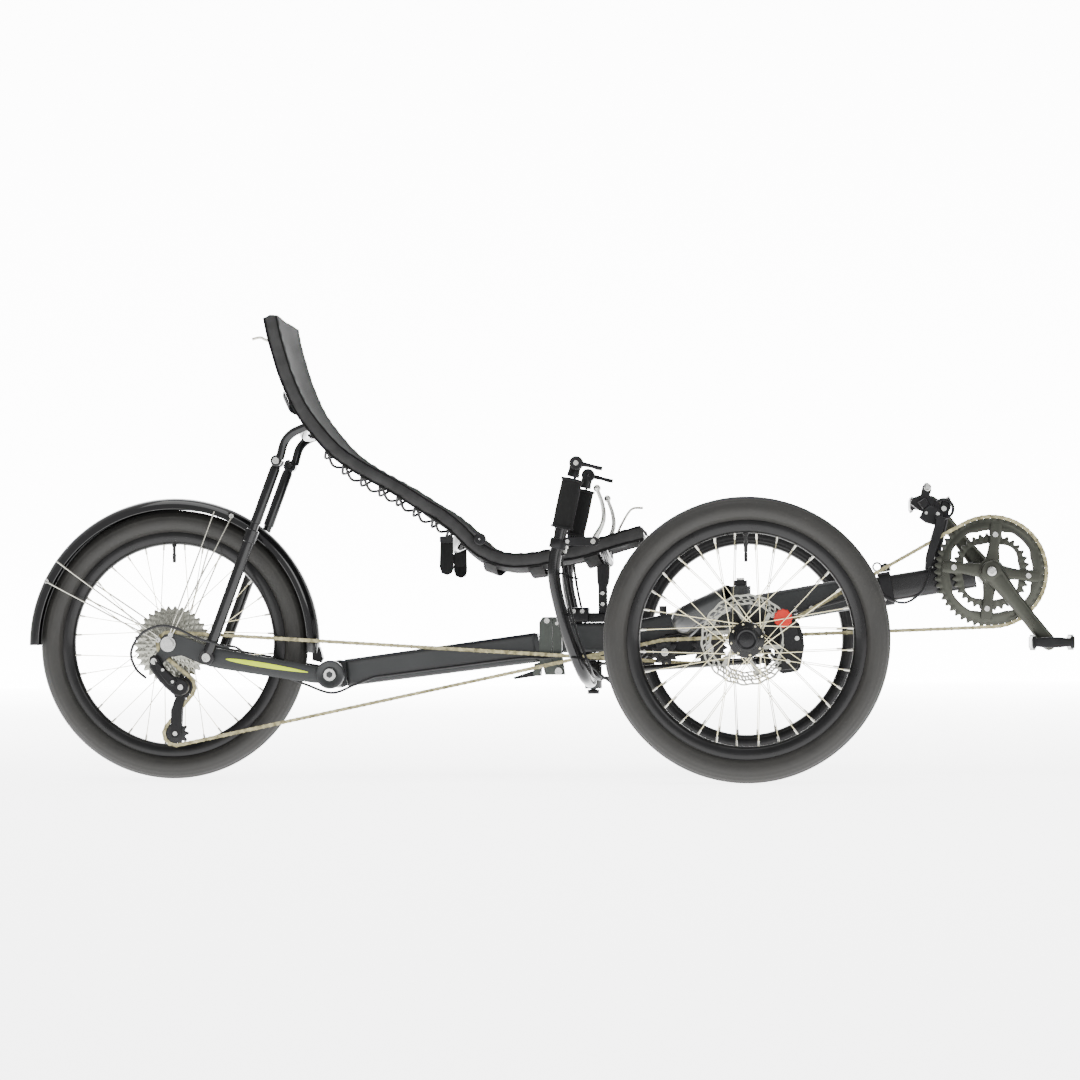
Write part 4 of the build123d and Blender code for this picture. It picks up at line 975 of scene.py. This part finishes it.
piece("perch_bolts", join(perch_heads), bolt_steel, "handlebar")

# Steering: round tie rods with ball ends join the stem to an arm under each knuckle. The knuckles are
# machined blocks that turn on kingpins and carry the stub axles and the disc calipers.
knob_red = mottled("knob_red", (0.36, 0.012, 0.006), 0.4, scale=40, spread=0.08, bump=0.05)
for s, name in ((-1, "right"), (1, "left")):
    inner_end = np.array([-239.0, s * 14, 196])
    outer_end = np.array([35.0, s * 304, 213])
    way = (outer_end - inner_end) / np.linalg.norm(outer_end - inner_end)
    span = float(np.linalg.norm(outer_end - inner_end))
    rod = round_about(inner_end, way, [(8, 4.2), (20, 4.4), (20.5, 6.4), (27, 6.4), (27.5, 5),
                                       (span - 27.5, 5), (span - 27, 6.4), (span - 20.5, 6.4),
                                       (span - 20, 4.4), (span - 8, 4.2)], 28)
    eyes = [upright_rod(e[0], e[1], [(3.7, e[2] - 5), (8.4, e[2] - 5), (9, e[2] - 4), (9, e[2] + 4),
                                     (8.4, e[2] + 5), (3.7, e[2] + 5)],
                        32) for e in (inner_end, outer_end)]
    piece(f"tie_rod_tube_{name}", join([rod] + eyes), black_anodised, f"tie_rod_{name}",
          stands_for=[f"tie_rod_{name}"])
    finish_node(f"knuckle_{name}", black_anodised)
    cap = upright_rod(-10, s * 290, [(6, 355), (7, 355.4), (7.5, 358), (6.6, 359.5), (2, 359.5)], 32)
    piece(f"kingpin_cap_{name}", cap, bolt_steel, f"knuckle_{name}")
    arm = plate([(9, 236), (10, 290), (20, 297), (52, 306), (61, 300), (66, 270), (66, 250), (58, 243),
                 (40, 240)], s * 305.4, s * 313, 1.2)
    body = plate([(53, 207), (57, 193), (63, 190), (88, 194), (94, 200), (101, 238), (99, 258),
                  (92, 279), (68, 298), (58, 298), (50, 290), (50, 282), (61, 278), (56, 250),
                  (53, 240)], s * 313.4, s * 335.2, 2.5)
    outer = plate([(60, 196), (88, 199), (97, 240), (88, 276), (66, 292), (56, 288), (64, 262),
                   (66, 240), (60, 222)], s * 338.9, s * 342.4, 1)
    piece(f"caliper_body_{name}", join([arm, body, outer]), black_anodised, f"knuckle_{name}",
          stands_for=[f"caliper_{name}"])
    screws(f"caliper_bolts_{name}", f"knuckle_{name}", (72, s * 342.4, 212, 4.2, 3),
           (88, s * 342.4, 252, 4.2, 3), (28, s * 313, 262, 4.5, 4), (46, s * 313, 292, 4.5, 4))
    petal = np.linspace(0, 2 * np.pi, 97)[:-1]
    wavy = np.stack([64 + (16 + 0.7 * np.cos(12 * petal)) * np.cos(petal),
                     287 + (16 + 0.7 * np.cos(12 * petal)) * np.sin(petal)], -1)
    piece(f"pad_adjuster_{name}", plate(wavy, s * 342.7, s * 350, 1.6), knob_red, f"knuckle_{name}")

# Sprockets: stamped and machined rings with half-inch teeth. Two grey chainrings on a four-arm spider,
# nine nickel-plated cogs, and black moulded idlers and jockey wheels.
crank_grey = mottled("crank_grey", (0.036, 0.037, 0.031), 0.3, metal=0.85, scale=30, spread=0.12,
                     bump=0.06)
cog_nickel = mottled("cog_nickel", (0.22, 0.22, 0.19), 0.28, metal=1.0, scale=90, spread=0.15, bump=0.06)
idler_black = mottled("idler_black", (0.005, 0.005, 0.0055), 0.45, scale=50, spread=0.2, bump=0.15,
                      specular=0.25)


def toothed_ring(x, z, y, inner, pitch_r, thick, holes=0, hole_share=0.0):
    """A sprocket's ring: its outer edge rises and falls once a tooth as a flattened cosine about the
    pitch circle, thinner at the tips; the inner edge may move in and out as a clipped cosine, a few
    times round, between its fixing points."""
    teeth = round(2 * math.pi * pitch_r / 12.7)
    a = np.linspace(0, 2 * np.pi, teeth * 12, endpoint=False)
    wave = np.cos(a * teeth)
    outer = pitch_r - 0.6 + 3.1 * np.sign(wave) * np.abs(wave) ** 0.7
    shift = 0 if not holes else hole_share * np.clip(np.cos(a * holes), -1, 0.2)
    inside = np.full(len(a), float(inner)) - shift
    rows = []
    for r, half in ((inside, 0.5), (np.full(len(a), pitch_r - 6.5), 0.5), (outer - 0.6, 0.3),
                    (outer, 0.1), (outer, -0.1), (outer - 0.6, -0.3),
                    (np.full(len(a), pitch_r - 6.5), -0.5), (inside, -0.5)):
        rows.append(np.stack([x + r * np.cos(a), np.full(len(a), y + half * thick),
                              z + r * np.sin(a)], -1))
    return grid_shell(np.array(rows), around=True, along=True)


crank_turn = math.radians(-52)
rings = [toothed_ring(bb_x, bb_z, -48, 77, 101.1, 4, 4, 7),
         toothed_ring(bb_x, bb_z, -41, 53, 68.8, 4, 4, 5)]
rings.append(lathe([(80, -50.4), (91, -50.4), (92.5, -49.6), (92.5, -48.4), (80, -48.4)], bb_x,
                   bb_z, steps=160))
spider = [lathe([(12.2, -50.2), (22, -50.2), (24, -51.5), (24, -55.5), (22, -57), (12.2, -57)], bb_x,
                bb_z, steps=64)]
ring_bolts = []
for i in range(4):
    a = crank_turn + math.radians(45 + 90 * i)
    way = np.array([math.cos(a), 0, math.sin(a)])
    hub = np.array([bb_x, -53.0, bb_z])
    spider.append(carried([hub + way * d for d in (14, 24, 40, 58, 76, 88)], [7, 6.4, 6, 6, 5.8, 4],
                          [30, 26, 21, 19, 24, 20], power=4))
    ring_bolts.append((*(hub + way * 68 + (0, -3, 0)), 5, 2))
piece("chain_rings", join(rings + spider), crank_grey, "crankset", stands_for=["chainrings"])
screws("ring_bolts", "crankset", *ring_bolts)
crank_parts = [lathe([(0.5, -54), (12, -54), (12, 73), (0.5, 73)], bb_x, bb_z, steps=48)]
pedal_ends = {}
for s, turn, name in ((-1, crank_turn, "right"), (1, crank_turn + math.pi, "left")):
    way = np.array([math.cos(turn), 0, math.sin(turn)])
    hub = np.array([bb_x, s * 65.5, bb_z])
    reach_at = [-17, -14, 0, 20, 60, 110, 150, 168, 176, 179]
    crank_parts.append(carried([hub + way * d + np.array([0, s * 1.2 * math.sin(d / 60), 0])
                                for d in reach_at], [9, 14, 17, 16, 13.5, 12.5, 13, 13.4, 12.5, 9],
                               [20, 31, 39, 35, 28, 25.5, 27, 28, 20, 9], power=3.2))
    crank_parts.append(lathe([(0.5, s * 56.4), (17, s * 56.4), (19.4, s * 58.5), (19.4, s * 71.5),
                              (17.5, s * 73.6), (10.5, s * 74.2), (9.5, s * 73), (0.5, s * 73)], bb_x,
                             bb_z, steps=64))
    pedal_ends[name] = hub + way * 165
piece("cranks", join(crank_parts), crank_grey, "crankset", stands_for=["crank_arms"])
screws("crank_bolts", "crankset", *[(bb_x, s * 73.2, bb_z, 8.5, 2.5) for s in (-1, 1)])
for s, name in ((-1, "right"), (1, "left")):
    x, _, z = pedal_ends[name]
    spindle = lathe([(0.5, s * 74.5), (8, s * 74.5), (8.6, s * 76), (8.6, s * 82), (7, s * 83.5),
                     (8.5, s * 95), (8.5, s * 160), (0.5, s * 168)], x, z, steps=36)
    sides = []
    for edge_x in (-34, 34):
        sides.append(carried([(x + edge_x, s * (84 + d), z) for d in (0, 2, 20, 44, 68, 86, 88)],
                             [5, 8, 8, 8, 8, 8, 5], [16, 22, 24, 24, 24, 22, 16], power=5,
                             up=(1, 0, 0)))
    for span_y in (86, 108, 148, 169):
        sides.append(carried([(x - 36, s * span_y, z), (x - 10, s * span_y, z), (x + 10, s * span_y, z),
                              (x + 36, s * span_y, z)], 5.5, [13, 19, 19, 13], power=5))
    pins = [screw_head((x + px, s * py, z + top * 11.4), (0, 0, top), 2, 2.6) for px in (-34, 34)
            for py in (90, 106, 128, 150, 166) for top in (-1, 1)]
    piece(f"pedal_cage_{name}", join([spindle] + sides), black_anodised, f"pedal_{name}",
          stands_for=[f"pedal_{name}"])
    piece(f"pedal_pins_{name}", join(pins), bolt_steel, f"pedal_{name}", smooth=False)

cogs = [toothed_ring(rear_x, wheel_r, -31 - 3.6 * i, 17.2, r, 1.8, 6 if r > 40 else 0, 3) for i, r in
        enumerate([68.8, 60.7, 52.6, 46.5, 40.5, 34.4, 30.4, 26.5, 22.5])]
freehub = lathe([(8.3, -28.8), (17.3, -28.8), (17.3, -62.4), (15, -63), (13, -63), (13, -61),
                 (8.3, -61)], rear_x, wheel_r, steps=64)
piece("cassette_cogs", join(cogs + [freehub]), cog_nickel, "cassette", stands_for=["cassette"])
power_idler_at = (-68, 236)
return_idler_at = (-150, 228.5)
upper_jockey_at = (-1040, 171)
lower_jockey_at = (-1054, 85.5)
drive_y = -46
return_y = -60
small_wheels = (("power_idler", "power_idler", power_idler_at, drive_y, 30.5, 5.2),
                ("return_idler", "return_idler", return_idler_at, return_y, 22.5, 5.2),
                ("jockey_upper", "upper_jockey", upper_jockey_at, return_y, 22.2, 3.2),
                ("jockey_lower", "lower_jockey", lower_jockey_at, return_y, 22.2, 3.2))
for node, body, (x, z), y, r, bore in small_wheels:
    wheel_parts = [toothed_ring(x, z, y, bore + 3, r, 4.2),
                   lathe([(bore, y - 3), (bore + 4.5, y - 3), (bore + 4.5, y + 3), (bore, y + 3)],
                         x, z, steps=40)]
    wheel_parts.append(lathe([(r - 9, y - 2.9), (r - 6, y - 2.9), (r - 6, y + 2.9), (r - 9, y + 2.9)],
                             x, z, steps=64))
    piece(f"{node}_wheel", join(wheel_parts), idler_black, body, stands_for=[node])

# Idler bracket: a black plate bolted to the beam's side that holds both idlers on steel bolts.
bracket = plate([(-186, 236), (-188, 224), (-176, 218), (-160, 216), (-95, 224), (-62, 226), (-56, 236),
                 (-62, 246), (-95, 254), (-125, 262), (-170, 252)], -34, -29.2, 1)
block_up = carried([(-150, -27.4, 256), (-148, -27.4, 256), (-122, -27.4, 256), (-120, -27.4, 256)],
                   [3, 4.2, 4.2, 3], [9, 12, 12, 9])
stubs = [lathe([(0.5, -30), (4.8, -30), (4.8, end), (0.5, end)], *at,
               steps=32) for at, end in ((power_idler_at, -50), (return_idler_at, -65))]
piece("idler_plate", join([bracket, block_up] + stubs), black_anodised, "frame",
      stands_for=["idler_bracket"])
screws("idler_bolts", "frame", (-68, -49.8, 236, 7.5, 4), (-150, -64.6, 228.5, 7, 4),
       (-143, -34, 250, 4.5, 3.5), (-127, -34, 252, 4.5, 3.5))

# Derailleurs: the rear one hangs from the dropout on a forged body with a sprung two-plate cage; the
# front one clamps to an upright post on the boom, which also holds the lamp bracket.
mech_body = [plate([(-1097, 226), (-1090, 231), (-1081, 227), (-1068, 205), (-1052, 191), (-1036, 187),
                    (-1028, 177), (-1029, 162), (-1040, 154), (-1052, 156), (-1066, 168), (-1080, 182),
                    (-1098, 207)], -91.5, -79, 3),
             plate([(-1088, 221), (-1079, 215), (-1046, 182), (-1050, 172), (-1062, 176), (-1084, 202)],
                   -95, -91, 1.2), lathe([(0.5, -92.5), (13, -92.5), (14.5, -90), (14.5, -72),
                                          (13, -69.4), (0.5, -69.4)], *upper_jockey_at, steps=48)]
piece("rear_mech_body", join(mech_body), black_anodised, "rear_arm", stands_for=["rear_derailleur"])
screws("rear_mech_bolts", "rear_arm", (-1089, -91.5, 219, 6, 3), (-1040, -92.5, 171, 5, 2),
       (-1072, -95, 203, 3, 2), (-1054, -95, 181, 3, 2))
cage_shape = [(-1050, 181), (-1040, 184), (-1029, 179), (-1027, 168), (-1036, 150), (-1041, 128),
              (-1042, 104), (-1044, 84), (-1050, 76), (-1060, 77), (-1064, 86), (-1062, 100),
              (-1062, 128), (-1054, 150), (-1053, 168)]
cage_pair = [plate(cage_shape, y0, y0 + 2, 0.5) for y0 in (-68.5, -53.5)]
cage_pins = [lathe([(0.5, -68.5), (2.9, -68.5), (2.9, -51.5), (0.5, -51.5)], *at,
                   steps=24) for at in (upper_jockey_at, lower_jockey_at)]
piece("jockey_cage", join(cage_pair + cage_pins), black_anodised, "cage", stands_for=["derailleur_cage"])
screws("jockey_bolts", "cage", (-1054, -68.5, 85.5, 4.2, 2), (-1041, -68.5, 171, 4.2, 0.6))
post = plate([(327, 353), (349, 356), (352, 372), (355, 395), (364, 430), (373, 468), (376, 502),
              (370, 507), (362, 507), (357, 490), (352, 472), (342, 440), (331, 402)], -9, 5, 2.5)
lamp_plate = plate([(302, 498), (318, 486), (352, 471), (360, 474), (365, 485), (352, 502), (339, 513),
                    (342, 522), (341, 530), (336, 536), (331, 536), (326, 530), (322, 514), (308, 509)],
                   -20, -10, 1)
band = lathe([(15, -22), (19, -22), (20, -20), (20, -8), (19, -6), (15, -6)], 364, 488, steps=48)
piece("mech_post", join([post, lamp_plate, band]), black_anodised, "boom", stands_for=["derailleur_post"])
mech_links = [plate([(318, 471), (330, 462), (352, 456), (361, 466), (362, 480), (352, 490), (338, 494),
                     (326, 486)], -38, -21, 3),
              plate([(326, 486), (338, 494), (330, 508), (316, 500)], -34, -24, 2)]
guide = [(350, 474), (365, 470), (362, 452), (352, 424), (344, 400), (338, 381), (327, 378), (329, 398),
         (336, 424), (344, 450)]
mech_links += [plate(guide, -56, -53.4, 0.8), plate(guide, -40, -37.4, 0.8)]
mech_links.append(carried([(352, -54, 471), (352, -46, 471), (352, -38, 471)], 8, 5, power=5,
                          up=(1, 0, 0)))
piece("front_mech", join(mech_links), black_anodised, "boom", stands_for=["front_derailleur"])
screws("front_mech_bolts", "boom", (352, -38, 478, 3.5, 2), (331, -38, 480, 3, 2),
       (364, -22, 488, 5, 3), (340, -9, 380, 4, 3), (344, -9, 398, 4, 3))
bell = round_about((334.7, -20, 527.5), (0, -1, 0), [(0, 6), (1, 7), (4, 7), (5, 5), (9, 4)], 28)
piece("lamp_bolt", bell, bolt_steel, "boom")

# Chain: half-inch roller chain, oiled steel. Its loop is worked out as straight runs and arcs round the
# sprockets, then cut at every half inch into pins, rollers and waisted side plates.
chain_oiled = mottled("chain_oiled", (0.21, 0.19, 0.11), 0.33, metal=1.0, scale=110, spread=0.6, bump=0.1)
wraps = [(bb_x, bb_z, 101.1, -48, 1), (*power_idler_at, 30.5, drive_y, -1),
         (-1065, 250, 22.5, return_y, 1), (*upper_jockey_at, 22.2, return_y, -1),
         (*lower_jockey_at, 22.2, return_y, 1), (*return_idler_at, 22.5, return_y, -1)]


def loop_line(circles):
    """The closed line that touches each circle in turn: a straight run's heading is the heading between
    the centres less the arc sine of the signed radius difference over their distance; arcs join the
    runs."""
    count = len(circles)
    step = 1.0
    leave, arrive = [], []
    for i in range(count):
        x0, z0, r0, y0, s0 = circles[i]
        x1, z1, r1, y1, s1 = circles[(i + 1) % count]
        gap = math.hypot(x1 - x0, z1 - z0)
        heading = math.atan2(z1 - z0, x1 - x0) - math.asin((s1 * r1 - s0 * r0) / gap)
        left = (-math.sin(heading), math.cos(heading))
        leave.append((x0 - s0 * r0 * left[0], z0 - s0 * r0 * left[1], y0))
        arrive.append((x1 - s1 * r1 * left[0], z1 - s1 * r1 * left[1], y1))
    points, owner = [], []
    for i in range(count):
        x, z, r, y, s = circles[i]
        start = math.atan2(arrive[i - 1][1] - z, arrive[i - 1][0] - x)
        end = math.atan2(leave[i][1] - z, leave[i][0] - x)
        sweep = (end - start) * s % (2 * math.pi) * s
        a = start + np.linspace(0, 1, max(3, int(abs(sweep) * r / step)))[:-1] * sweep
        points.append(np.stack([x + r * np.cos(a), np.full(len(a), float(y)), z + r * np.sin(a)], -1))
        owner.append(np.full(len(a), 2 * i))
        a0, a1 = np.array(leave[i]), np.array(arrive[i])
        t = np.linspace(0, 1, int(np.linalg.norm(a1 - a0) / step))[:-1, None]
        run = a0 + (a1 - a0) * t
        points.append(run[:, [0, 2, 1]])
        owner.append(np.full(len(run), 2 * i + 1))
    return np.concatenate(points), np.concatenate(owner)


chain_line, chain_part = loop_line(wraps)
closed = np.concatenate([chain_line, chain_line[:1]])
along = np.concatenate([[0], np.cumsum(np.linalg.norm(np.diff(closed, axis=0), axis=1))])
links_in_loop = 2 * round(along[-1] / 25.4)
pin_at = np.linspace(0, along[-1], links_in_loop, endpoint=False)
pins = np.stack([np.interp(pin_at, along, closed[:, k]) for k in range(3)], -1)
pin_part = chain_part[np.clip(np.searchsorted(along, pin_at, side="right") - 1, 0, len(chain_part) - 1)]


def chain_links(chosen):
    """Every chosen link: two side plates with round ends and a narrow waist, set wide on odd links and
    close on even ones, a roller at its first pin and a pin standing through the outer plates."""
    shells = []
    a = np.linspace(0, 2 * np.pi, 20, endpoint=False)
    waist = 3.1 + 1.0 * np.abs(np.cos(a)) ** 1.5
    shape_u = np.cos(a) * 4.0 + np.where(np.cos(a) >= 0, 6.35, -6.35)
    shape_v = np.sin(a) * waist
    for k in chosen:
        p, q = pins[k], pins[(k + 1) % len(pins)]
        u = (q - p) / np.linalg.norm(q - p)
        v = np.cross((0, 1, 0), u)
        v /= np.linalg.norm(v)
        w = np.cross(u, v)
        off = 3.3 if k % 2 else 2.3
        for y in (-off, off):
            face = (p + q) / 2 + shape_u[:, None] * u + shape_v[:, None] * v + y * w
            shells.append(grid_shell(np.stack([face - 0.45 * w, face + 0.45 * w]),
                                     around=True, ends=True))
        b = a[::2]
        for radius, half in ((3.8, 1.8), (1.8, 4.1)):
            disc = p + radius * (np.cos(b)[:, None] * u + np.sin(b)[:, None] * v)
            shells.append(grid_shell(np.stack([disc - half * w, disc + half * w]),
                                     around=True, ends=True))
    return join(shells)


fold_front_x = -330.0
fold_rear_x = -400.0
pin_x = pins[:, 0]
long_runs = (pin_part == 3) | (pin_part == 9)
groups = {
    "chain_on_ring": (pin_part == 0, "boom"),
    "chain_top_front": (pin_part == 1, "frame", "boom", (-30, -46, 230), (330, -48, 440)),
    "chain_bottom_front": (pin_part == 11, "frame", "boom", (-120, -60, 250), (400, -48, 270)),
    "chain_idlers": ((pin_part == 2) | (pin_part == 10) | (long_runs & (pin_x > fold_front_x)), "frame"),
    "chain_at_fold": (long_runs & (pin_x <= fold_front_x) & (pin_x > fold_rear_x),
                      "frame", "rear_frame", (-335, -50, 230), (-395, -50, 230)),
    "chain_rear_runs": (long_runs & (pin_x <= fold_rear_x),
                        "rear_frame", "rear_arm", (-700, -60, 200), (-830, -60, 200)),
    "chain_on_cog": ((pin_part == 4) | (pin_part == 5), "rear_arm"),
    "chain_in_cage": ((pin_part == 6) | (pin_part == 7) | (pin_part == 8), "cage"),
}
for name, (mask, body, *across) in groups.items():
    made = piece(name, chain_links(np.nonzero(mask)[0]), chain_oiled, None if across else body,
                 smooth=False)
    if across:
        other, begins, ends = across
        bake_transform(made)
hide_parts("chain_front")
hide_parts("chain_rear")

# Cables: black plastic-jacketed brake and gear lines, one from each control, held at both ends and
# clipped on the way. Each is a round line through its clip points. Those that cross a joint stay fixed,
# on no body.
cable_black = mottled("cable_black", (0.005, 0.005, 0.0055), 0.38, scale=90, spread=0.2, bump=0.05,
                      specular=0.25)


def line_of(points, radius=2.4):
    """A jacketed line: a circle carried along the smooth curve through its points."""
    return along_path(flowing(points, 10), radius, sides=12)


down_bars, to_brakes = [], []
for s in (-1, 1):
    for side_step, top in ((5.5, (-300, s * 228, 556)), (-4.5, (-325, s * 235, 403))):
        down_bars.append(line_of([top, (-322 + side_step, s * 221, 500),
                                  (-336 + side_step, s * 220, 440), (-330 + side_step, s * 220, 360),
                                  (-309 + side_step, s * 219, 265), (-287 + side_step, s * 208, 205),
                                  (-276, s * 150, 186), (-268, s * 80, 180), (-262, s * 34, 182)]))
    for high in (0, 9):
        to_brakes.append(line_of([(-262, s * 34, 182), (-238, s * 30, 178 - high), (-225, s * 34, 200),
                                  (-196, s * 33, 222 - high), (-160, s * 36, 252 - high),
                                  (-120, s * 60, 262 - high)], 2.3))
piece("bar_cables", join(down_bars), cable_black, "handlebar")
piece("stem_cables", join(to_brakes), cable_black, "frame")
for s in (-1, 1):
    line_path = [(-120, s * 60, 262), (-104, s * 130, 258), (-96, s * 200, 262), (-70, s * 262, 280),
                 (-20, s * 300, 268), (35, s * 322, 232), (52, s * 326, 214)]
    made = piece(f"brake_line_{'right' if s < 0 else 'left'}", line_of(line_path, 2.4), cable_black, None)
    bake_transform(made)
boom_cable = line_of([(-120, -30, 250), (20, -29.5, 284), (120, -29.5, 306), (225, -29.5, 333),
                      (243, -30, 337)], 2.3)
piece("beam_cable", boom_cable, cable_black, "frame")
boom_end = piece("boom_cable", line_of([(243, -30, 337), (262, -34, 322), (292, -31, 316),
                                        (318, -27, 332), (330, -24, 352), (344, -20, 400),
                                        (352, -18, 446), (346, -28, 470)], 2.3), cable_black, None)
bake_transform(boom_end)
rear_line = [(-262, -34, 182), (-300, -31, 214), (-335, -33, 222), (-372, -34, 219), (-420, -30, 219),
             (-560, -29, 202), (-690, -28, 186)]
fold_line = piece("fold_cable", line_of(rear_line[:4], 2.3), cable_black, None)
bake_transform(fold_line)
piece("rear_beam_cable", line_of(rear_line[3:], 2.3), cable_black, "rear_frame")
arm_line_path = [(-690, -28, 186), (-725, -40, 172), (-765, -50, 158), (-812, -60, 174),
                 (-870, -62, 198), (-915, -64, 224), (-938, -78, 243), (-960, -95, 246)]
arm_cable = piece("arm_cable", line_of(arm_line_path, 2.3), cable_black, None)
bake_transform(arm_cable)
piece("rear_mech_cable", line_of([(-960, -95, 246), (-985, -101, 254), (-1010, -102, 262),
                                  (-1045, -103, 279), (-1078, -103, 284), (-1112, -101, 268),
                                  (-1130, -98, 236), (-1122, -95, 206), (-1103, -93, 188)], 2.5),
      cable_black, "rear_arm", stands_for=["rear_cable"])
ties = []
for s in (-1, 1):
    for x, z in ((-336, 372), (-326, 300), (-300, 220)):
        ties.append(round_about((x, s * 231, z), (0.15, 0, 1),
                                [(-1.5, 14), (-1.5, 15.2), (1.5, 15.2), (1.5, 14)], 36))
piece("cable_ties", join(ties), webbing_black, "handlebar")
guides = [lathe([(2.6, -26), (5.4, -26), (5.4, -34), (2.6, -34)], x, z,
                steps=24) for x, z in ((20, 284), (120, 306), (225, 333))]
piece("cable_guides", join(guides), bolt_steel, "frame")

# Cable cover and beam screws: a flat plate of plain black plastic held by three rivets covers the cable
# entry beside the fold, and two stainless screws stand on the side of the beam.
piece("entry_cover", plate([(-196, 248), (-160, 246), (-156, 236), (-162, 224), (-190, 226),
                            (-198, 236)], -40, -37, 1), black_anodised, "frame")
screws("entry_rivets", "frame", (-184, -40, 243, 3.4, 2), (-188, -40, 230, 3.4, 2),
       (-170, -40, 230, 3.4, 2))
screws("beam_bolts", "frame", (90, -25, 300, 5, 3), (-330, -24.5, 285, 4, 3))
